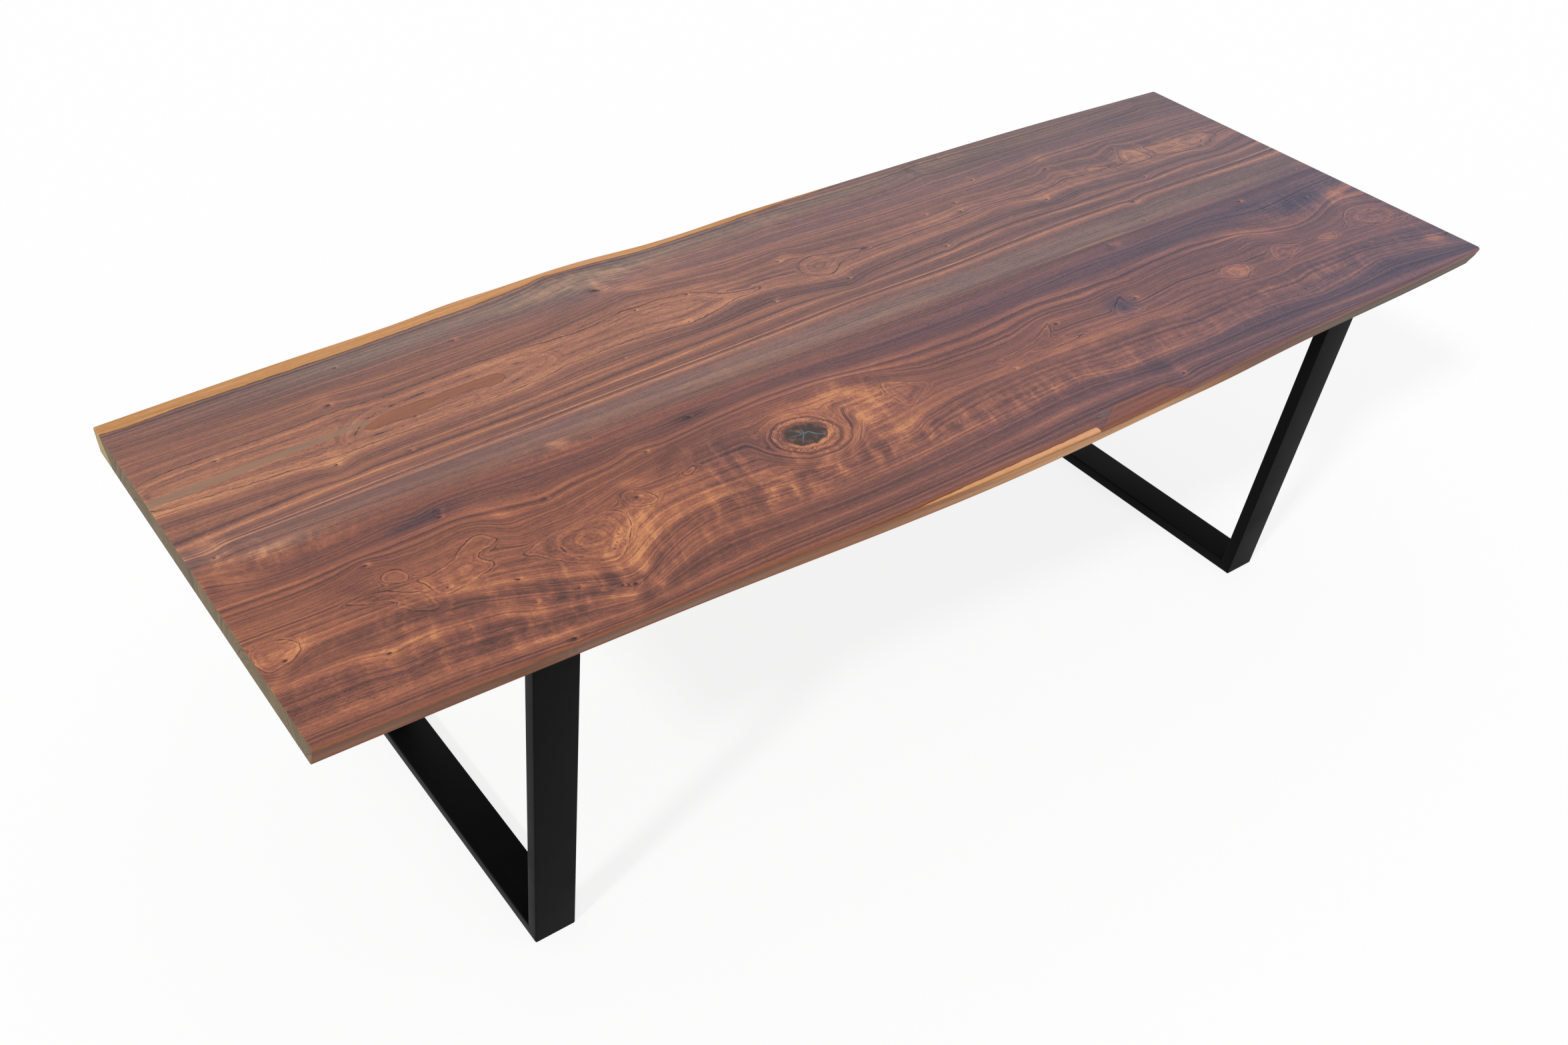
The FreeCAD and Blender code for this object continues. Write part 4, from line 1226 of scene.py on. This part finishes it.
def turned_metal(name, codes, rough, metallic):
    """A turned metal with a fine uneven skin and a cloudy finish."""
    material, tree, shader = new_material(name, Metallic=metallic)
    place = add(tree, PLACE).outputs["Object"]
    cloud = add(tree, NOISE, {"Vector": place, "Scale": 1 / (6 * MM), "Detail": 3.0})
    shade = add(tree, RAMP, [cloud], stops=tuple(zip((0.3, 0.7), codes)))
    dull = add(tree, SHARE, (cloud, 0.3, 0.7, rough - 0.06, rough + 0.08))
    fine = add(tree, NOISE, {"Vector": place, "Scale": 1 / (0.8 * MM), "Detail": 1.0})
    finish_shader(tree, shader, shade, dull, fine, strength=0.2, depth=0.05)
    return material


# Zinc plated steel: pale blue grey, lightly clouded by the passivation
zinc = turned_metal("zinc_plated_steel", ("#9a9da0", "#b9bcbe"), 0.36, 1.0)
# Machined brass: yellow, with a dull skin of handling
brass = turned_metal("machined_brass", ("#a98545", "#c6a463"), 0.34, 1.0)
# Black oxide on steel: nearly black, with an oily half shine
black_oxide = turned_metal("black_oxide_steel", ("#1c1c1e", "#2b2b2d"), 0.42, 0.9)
# Cast resin in the knot's checks and beside the patch: slate blue, glossy, faintly clouded
resin, tree, shader = new_material("slate_casting_resin", Coat_Weight=0.3, Coat_Roughness=0.1)
place = add(tree, PLACE).outputs["Object"]
cloud = add(tree, NOISE, {"Vector": place, "Scale": 1 / (5 * MM), "Detail": 3.0})
shade = add(tree, RAMP, [cloud], stops=((0.3, "#2c3d45"), (0.7, "#4a5d64")))
finish_shader(tree, shader, shade, add(tree, SHARE, (cloud, 0.3, 0.7, 0.22, 0.32)))


# Leg frames: mitred tube, welded and powder coated


def rounded_section(width, depth, radius, steps=5):
    """Outline of a tube's section about its centre, as (across X, through)."""
    outline = []
    for turn, sign_u, sign_w in ((0, 1, 1), (1, -1, 1), (2, -1, -1), (3, 1, -1)):
        for t in arc(steps):
            angle = t + turn * math.pi / 2
            outline.append((
                sign_u * (width / 2 - radius) + radius * math.cos(angle),
                sign_w * (depth / 2 - radius) + radius * math.sin(angle),
            ))
    return outline


OUTSIDE = rounded_section(TUBE_WIDTH, TUBE_DEPTH, TUBE_CORNER)
BORE = rounded_section(TUBE_WIDTH - 2 * TUBE_WALL, TUBE_DEPTH - 2 * TUBE_WALL, TUBE_CORNER - TUBE_WALL)


def make_tube(name, place):
    """A hollow tube. place(u, w, stop) gives a point of its section at one of four stops along it."""
    rings = []
    for section, stops in ((OUTSIDE, (0, 1, 2, 3)), (BORE, (3, 0))):
        for stop in stops:
            shrink = MITRE_EASE if section is OUTSIDE and stop in (0, 3) else 0.0
            scale_u, scale_w = 1 - 2 * shrink / TUBE_WIDTH, 1 - 2 * shrink / TUBE_DEPTH
            rings.append([place(u * scale_u, w * scale_w, stop) for u, w in section])
    count = len(OUTSIDE)
    verts = [point for ring in rings for point in ring]
    faces = []
    for n in range(len(rings)):
        start, end = n * count, (n + 1) % len(rings) * count
        for k in range(count):
            k_next = (k + 1) % count
            faces.append((start + k, start + k_next, end + k_next, end + k))
    made = object_from(name, verts, faces, [black_coat])
    face_outwards(made.data)
    made.data.set_sharp_from_angle(angle=SHARP_ANGLE)
    return made


# Tiny bevel round each end of a tube, under the coat
MITRE_EASE = 0.3
TILT = math.atan(SPLAY_SLOPE)
TUBE_RUN = TUBE_DEPTH / math.cos(TILT)
INNER_CORNER_Y = FOOT_HALF_SPREAD + SPLAY_SLOPE * TUBE_DEPTH - TUBE_RUN
MITRE = (INNER_CORNER_Y - FOOT_HALF_SPREAD) / TUBE_DEPTH
UPRIGHT_TOP = UNDER - PLATE_THICKNESS


def upright_place(leg_x, side):
    """Where a point of an upright's section lies, from its mitre to its top."""

    def place(u, w, stop):
        w = w - TUBE_DEPTH / 2
        low = -w * (MITRE * math.sin(TILT) + math.cos(TILT)) / (math.sin(TILT) - MITRE * math.cos(TILT))
        high = (UPRIGHT_TOP + w * math.sin(TILT)) / math.cos(TILT)
        along = (low, low + MITRE_EASE, high - MITRE_EASE, high)[stop]
        y = FOOT_HALF_SPREAD + w * math.cos(TILT) + along * math.sin(TILT)
        return leg_x + u, side * y, along * math.cos(TILT) - w * math.sin(TILT)

    return place


def rail_place(leg_x):
    """Where a point of the floor rail's section lies, from its front mitre to its rear one."""

    def place(u, w, stop):
        z = w + TUBE_DEPTH / 2
        end = FOOT_HALF_SPREAD + MITRE * z
        return leg_x + u, (-end, MITRE_EASE - end, end - MITRE_EASE, end)[stop], z

    return place


def lathe(name, outline, turns=40):
    """A closed turned shape about Z, with its outline given as radius and height."""
    verts = []
    faces = []
    for radius, z in outline:
        for n in range(turns):
            angle = 2 * math.pi * n / turns
            verts.append((radius * math.cos(angle), radius * math.sin(angle), z))
    for row in range(len(outline)):
        start, end = row * turns, (row + 1) % len(outline) * turns
        for n in range(turns):
            n_next = (n + 1) % turns
            faces.append((start + n, start + n_next, end + n_next, end + n))
    made = object_from(name, verts, faces, [])
    work = bmesh.new()
    work.from_mesh(made.data)
    bmesh.ops.remove_doubles(work, verts=work.verts, dist=1e-6)
    bmesh.ops.dissolve_degenerate(work, edges=work.edges, dist=1e-7)
    bmesh.ops.recalc_face_normals(work, faces=work.faces)
    work.to_mesh(made.data)
    work.free()
    made.data.set_sharp_from_angle(angle=math.radians(30))
    return made


# What repeats: weld beads and fasteners


def new_tree(name, inputs):
    """A Geometry Nodes tree with named inputs. Returns the tree and its input sockets."""
    tree = bpy.data.node_groups.new(name, "GeometryNodeTree")
    for label, kind in inputs.items():
        tree.interface.new_socket(label, in_out="INPUT", socket_type="NodeSocket" + kind)
    tree.interface.new_socket("Geometry", in_out="OUTPUT", socket_type="NodeSocketGeometry")
    return tree, add(tree, "NodeGroupInput").outputs


def end_tree(tree, geometry, material):
    """Ends a tree in real geometry with its material."""
    real = add(tree, "GeometryNodeRealizeInstances", [geometry])
    real = add(tree, "GeometryNodeSetMaterial", {"Geometry": real, "Material": material})
    add(tree, "NodeGroupOutput", [real])


def grown(name, tree, **values):
    """A plain mesh object made by a tree with its inputs set."""
    made = object_from(name, [], [], [])
    growth = made.modifiers.new("growth", "NODES")
    growth.node_group = tree
    for item in tree.interface.items_tree:
        if item.in_out == "INPUT":
            growth[item.identifier] = values[item.name.replace(" ", "_")]
    graph = bpy.context.evaluated_depsgraph_get()
    mesh = bpy.data.meshes.new_from_object(made.evaluated_get(graph))
    made.modifiers.remove(growth)
    made.data = mesh
    mesh.name = name
    return made


# Weld beads laid along X in a frame's four inner corners, with the ripples of their puddles
weld_tree, given = new_tree(
    "weld_beads",
    {"Leg X": "Float", "Width": "Float", "Ripple Pitch": "Float", "Ripple": "Float",
     "Lower Bead": "Object", "Lower Corner": "Vector", "Upper Bead": "Object", "Upper Corner": "Vector",
     "Material": "Material"},
)
half = add(weld_tree, MATH, (given["Width"], 0.5), operation="MULTIPLY")
first = add(weld_tree, MATH, (given["Leg X"], half), operation="SUBTRACT")
last = add(weld_tree, MATH, (given["Leg X"], half), operation="ADD")
ends = {"Start": add(weld_tree, JOIN, [first]), "End": add(weld_tree, JOIN, [last])}
seam_line = add(weld_tree, "GeometryNodeCurvePrimitiveLine", ends)
step = add(weld_tree, MATH, (given["Ripple Pitch"], 0.2), operation="MULTIPLY")
seam_line = add(
    weld_tree,
    "GeometryNodeResampleCurve",
    {"Curve": seam_line, "Length": step},
    mode="LENGTH",
)
reached = add(weld_tree, "GeometryNodeSplineParameter").outputs["Length"]
turn = add(weld_tree, MATH, (reached, given["Ripple Pitch"]), operation="DIVIDE")
turn = add(weld_tree, MATH, (turn, math.pi), operation="MULTIPLY")
swell = add(weld_tree, MATH, [add(weld_tree, MATH, [turn], operation="SINE")], operation="ABSOLUTE")
swell = add(weld_tree, MATH, (swell, given["Ripple"]), operation="MULTIPLY")
swell = add(weld_tree, MATH, (1.0, swell), operation="SUBTRACT")
beads = add(weld_tree, "GeometryNodeJoinGeometry")
for label in ("Lower", "Upper"):
    section = add(weld_tree, "GeometryNodeObjectInfo", [given[label + " Bead"]]).outputs["Geometry"]
    bead = add(
        weld_tree,
        "GeometryNodeCurveToMesh",
        {"Curve": seam_line, "Profile Curve": section, "Scale": swell, "Fill Caps": True},
    )
    corner = given[label + " Corner"]
    bead = add(weld_tree, "GeometryNodeTransform", {"Geometry": bead, "Translation": corner})
    across_frame = add(weld_tree, "GeometryNodeTransform", {"Geometry": bead, "Scale": (1, -1, 1)})
    across_frame = add(weld_tree, "GeometryNodeFlipFaces", [across_frame])
    weld_tree.links.new(bead.outputs[0], beads.inputs[0])
    weld_tree.links.new(across_frame.outputs[0], beads.inputs[0])
end_tree(weld_tree, beads, given["Material"])


# A bead stays just inside its solid's fillet and is crowned in its middle
BEAD_LEG = 0.98 * WELD_LEG
BEAD_CROWN = 0.15
BEAD_POINTS = 7
BEAD_RIPPLE = 0.14
RIPPLE_PITCH = 2.6


def bead_section(name, up):
    """Section of a bead about the corner between a level face and an upright's inner face."""
    level = Vector((-1, 0))
    sloping = Vector((math.sin(TILT), math.cos(TILT))) * up
    curve = bpy.data.curves.new(name, "CURVE")
    points = [Vector((0, 0))]
    for share in np.linspace(0, 1, BEAD_POINTS):
        bulge = 1 + BEAD_CROWN * 4 * share * (1 - share)
        points.append((level * (1 - share) + sloping * share) * BEAD_LEG * bulge)
    outline = curve.splines.new("POLY")
    outline.points.add(len(points) - 1)
    for spot, offset in zip(outline.points, points):
        # Along a line that runs with X, a section's axes come out as -Y and -Z
        spot.co = (-offset.x * MM, -offset.y * MM, 0, 1)
    outline.use_cyclic_u = True
    made = bpy.data.objects.new(name, curve)
    bpy.context.scene.collection.objects.link(made)
    return made


# A row of fasteners along a mounting plate, the same on both sides of its middle, each turned by chance
fastener_tree, given = new_tree(
    "fastener_row",
    {"Fastener": "Object", "Leg X": "Float", "Inner Row": "Float", "Outer Row": "Float",
     "Seat Height": "Float", "Seed": "Int", "Material": "Material"},
)
rows = add(fastener_tree, "GeometryNodeJoinGeometry")
gap = add(fastener_tree, MATH, (given["Outer Row"], given["Inner Row"]), operation="SUBTRACT")
for sign in (-1, 1):
    begin = add(fastener_tree, MATH, (given["Inner Row"], sign), operation="MULTIPLY")
    begin = add(fastener_tree, JOIN, (given["Leg X"], begin, given["Seat Height"]))
    stride = add(fastener_tree, MATH, (gap, sign), operation="MULTIPLY")
    stride = add(fastener_tree, JOIN, (0.0, stride, 0.0))
    row = add(
        fastener_tree,
        "GeometryNodeMeshLine",
        {"Count": 2, "Start Location": begin, "Offset": stride},
    )
    fastener_tree.links.new(row.outputs[0], rows.inputs[0])
turned = add(fastener_tree, "FunctionNodeRandomValue", {"Seed": given["Seed"]}, data_type="FLOAT")
turned = add(fastener_tree, MATH, (turned, 2 * math.pi), operation="MULTIPLY")
turned = add(fastener_tree, JOIN, (0.0, 0.0, turned))
fastener = add(fastener_tree, "GeometryNodeObjectInfo", [given["Fastener"]]).outputs["Geometry"]
copies = add(
    fastener_tree,
    "GeometryNodeInstanceOnPoints",
    {"Points": rows, "Instance": fastener, "Rotation": turned},
)
end_tree(fastener_tree, copies, given["Material"])


def make_bolt():
    """A button head bolt with a hexagon socket, pointing up from its seat."""
    outline = [
        (0.0, BOLT_LENGTH),
        (BOLT_RADIUS - BOLT_POINT[0], BOLT_LENGTH),
        (BOLT_RADIUS, BOLT_LENGTH - BOLT_POINT[1]),
        (BOLT_RADIUS, 0.0),
        (HEAD_RADIUS - SMALL_BEVEL, 0.0),
        (HEAD_RADIUS, -SMALL_BEVEL),
    ]
    for angle in np.linspace(0, DOME_ANGLE, 9):
        height = (HEAD_HEIGHT - BOLT_RIM) * math.sin(angle) / math.sin(DOME_ANGLE)
        outline.append((HEAD_RADIUS * math.cos(angle), -BOLT_RIM - height))
    bolt = lathe("bolt", outline + [(0.0, -HEAD_HEIGHT)])
    corner = SOCKET / math.sqrt(3)
    hexagon = [(corner * math.cos(n * math.pi / 3), corner * math.sin(n * math.pi / 3)) for n in range(6)]
    socket = prisms("socket", [hexagon], -HEAD_HEIGHT - PAST_UNDER, -HEAD_HEIGHT + SOCKET_DEPTH)
    carve(bolt, socket, "DIFFERENCE")
    bpy.data.objects.remove(socket)
    return bolt


def make_washer():
    """A flat washer with bevelled rims, hanging from its seat."""
    low = -WASHER_THICKNESS
    outer, inner = WASHER_RADIUS, WASHER_BORE
    return lathe("washer", [
        (inner, 0.0),
        (outer - SMALL_BEVEL, 0.0),
        (outer, -SMALL_BEVEL),
        (outer, low + SMALL_BEVEL),
        (outer - SMALL_BEVEL, low),
        (inner + SMALL_BEVEL, low),
        (inner, low + SMALL_BEVEL),
    ])


def make_insert():
    """A threaded insert, standing up from its seat, with its coarse outer thread drawn as rings."""
    outline = [(4.0, INSERT_LENGTH), (4.0, 1.0), (4.8, 0.0), (5.7, 0.0)]
    for ring in range(THREAD_RINGS):
        z = THREAD_START + ring * THREAD_PITCH
        outline += [(THREAD_ROOT, z), (THREAD_CREST, z + 0.5)]
        outline += [(THREAD_CREST, z + 0.9), (THREAD_ROOT, z + 1.4)]
    return lathe("insert", outline + [(THREAD_ROOT, INSERT_LENGTH - 0.6), (4.8, INSERT_LENGTH)])


templates = {
    "bolts": (make_bolt(), UPRIGHT_TOP - WASHER_THICKNESS, black_oxide, "blackened_steel"),
    "washers": (make_washer(), UPRIGHT_TOP, zinc, "zinc_steel"),
    "threaded_inserts": (make_insert(), UNDER, brass, "brass"),
}
sections = (bead_section("lower_bead", 1), bead_section("upper_bead", -1))
upper_y = FOOT_HALF_SPREAD + SPLAY_SLOPE * UPRIGHT_TOP - TUBE_RUN

for hand, leg_x in (("left", -LEG_X), ("right", LEG_X)):
    coated = {
        "_rear_upright": make_tube(hand + "_rear_upright_tube", upright_place(leg_x, 1)),
        "_front_upright": make_tube(hand + "_front_upright_tube", upright_place(leg_x, -1)),
        "_bottom_rail": make_tube(hand + "_floor_rail_tube", rail_place(leg_x)),
        "_leg_welds": grown(
            hand + "_weld_beads",
            weld_tree,
            Leg_X=leg_x * MM,
            Width=(TUBE_WIDTH - 2 * TUBE_CORNER) * MM,
            Ripple_Pitch=RIPPLE_PITCH * MM,
            Ripple=BEAD_RIPPLE,
            Lower_Bead=sections[0],
            Lower_Corner=(0.0, INNER_CORNER_Y * MM, TUBE_DEPTH * MM),
            Upper_Bead=sections[1],
            Upper_Corner=(0.0, upper_y * MM, UPRIGHT_TOP * MM),
            Material=black_coat,
        ),
    }
    parts = [(made, hand + node, "black_powder_coat") for node, made in coated.items()]
    for n, (label, (template, seat, finish, slot_name)) in enumerate(templates.items()):
        fasteners = grown(
            hand + "_" + label + "_set",
            fastener_tree,
            Fastener=template,
            Leg_X=leg_x * MM,
            Inner_Row=BOLT_ROWS[0] * MM,
            Outer_Row=BOLT_ROWS[1] * MM,
            Seat_Height=seat * MM,
            Seed=n + int(leg_x > 0) * 7,
            Material=finish,
        )
        parts.append((fasteners, hand + "_" + label, slot_name))
    for made, node, slot_name in parts:
        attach(made, "root")
        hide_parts(node)
for template in [t[0] for t in templates.values()] + list(sections):
    bpy.data.objects.remove(template)

# The plates and the resin keep their solids, with better finishes
for node, finish in (
    ("left_mounting_plate", black_coat),
    ("right_mounting_plate", black_coat),
    ("knot_resin", resin),
    ("edge_resin", resin),
):
    for slot_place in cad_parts[node].material_slots:
        slot_place.material = finish


# Camera, light and floor

scene = bpy.context.scene
# The picture's size, focal length and optical centre in pixels, and where the camera stands
PICTURE_WIDTH, PICTURE_HEIGHT = 2352, 1568
FOCAL_LENGTH = 2384.049
PICTURE_CENTRE = (1190.847, 796.621)
SENSOR_WIDTH = 36.0
CAMERA_PLACE = (-1.608001, -1.846227, 2.201965)
CAMERA_TURN = (51.47161, -2.46672, -36.59198)
camera_data = bpy.data.cameras.new("camera")
camera_data.sensor_width = SENSOR_WIDTH
camera_data.lens = SENSOR_WIDTH * FOCAL_LENGTH / PICTURE_WIDTH
camera_data.shift_x = (PICTURE_WIDTH / 2 - PICTURE_CENTRE[0]) / PICTURE_WIDTH
camera_data.shift_y = (PICTURE_CENTRE[1] - PICTURE_HEIGHT / 2) / PICTURE_WIDTH
camera = bpy.data.objects.new("camera", camera_data)
camera.location = CAMERA_PLACE
camera.rotation_euler = [math.radians(angle) for angle in CAMERA_TURN]
scene.collection.objects.link(camera)
scene.camera = camera

# One soft key light from the left end and a little from the front, and an even studio round it
KEY_STRENGTH = 1.9
KEY_SOFTNESS = math.radians(6)
KEY_HEIGHT = math.radians(38)
KEY_ACROSS = (0.93, 0.37)
AMBIENT = 0.62
FLOOR_GLOW = 0.83
FLOOR_SIZE = 60.0
key_data = bpy.data.lights.new("soft_key", "SUN")
key_data.energy = KEY_STRENGTH
key_data.angle = KEY_SOFTNESS
key = bpy.data.objects.new("soft_key", key_data)
towards = Vector((*KEY_ACROSS, -math.tan(KEY_HEIGHT))).normalized()
key.rotation_euler = towards.to_track_quat("-Z", "Y").to_euler()
scene.collection.objects.link(key)


def seen_share(tree):
    """1 where the camera, a shine or a clear piece looks straight at the backdrop, and 0 for light."""
    rays = add(tree, "ShaderNodeLightPath").outputs
    seen = add(tree, MATH, (rays["Is Camera Ray"], rays["Is Glossy Ray"]), operation="MAXIMUM")
    return add(tree, MATH, (seen, rays["Is Transmission Ray"]), operation="MAXIMUM")


world = bpy.data.worlds.new("studio")
scene.world = world
world.use_nodes = True
tree = world.node_tree
level = add(tree, SHARE, (seen_share(tree), 0.0, 1.0, AMBIENT, 1.0))
tree.links.new(level.outputs[0], tree.nodes["Background"].inputs["Strength"])
tree.nodes["Background"].inputs["Color"].default_value = (1, 1, 1, 1)

floor_finish = bpy.data.materials.new("white_floor")
floor_finish.use_nodes = True
tree = floor_finish.node_tree
glow = add(tree, MATH, (seen_share(tree), FLOOR_GLOW), operation="MULTIPLY")
matt = add(tree, "ShaderNodeBsdfDiffuse", {"Color": paint("#fdfdfd")})
white = add(tree, "ShaderNodeEmission", {"Strength": 1.0})
mixed = add(tree, "ShaderNodeMixShader", {0: glow, 1: matt, 2: white})
# Seen from below, the floor lets the underside show
back = add(tree, "ShaderNodeNewGeometry").outputs["Backfacing"]
clear = add(tree, "ShaderNodeBsdfTransparent")
mixed = add(tree, "ShaderNodeMixShader", {0: back, 1: mixed, 2: clear})
tree.links.new(mixed.outputs[0], tree.nodes["Material Output"].inputs["Surface"])
bpy.ops.mesh.primitive_plane_add(size=FLOOR_SIZE)
floor = bpy.context.object
floor.name = "floor"
floor.data.materials.append(floor_finish)

scene.view_settings.view_transform = "Standard"
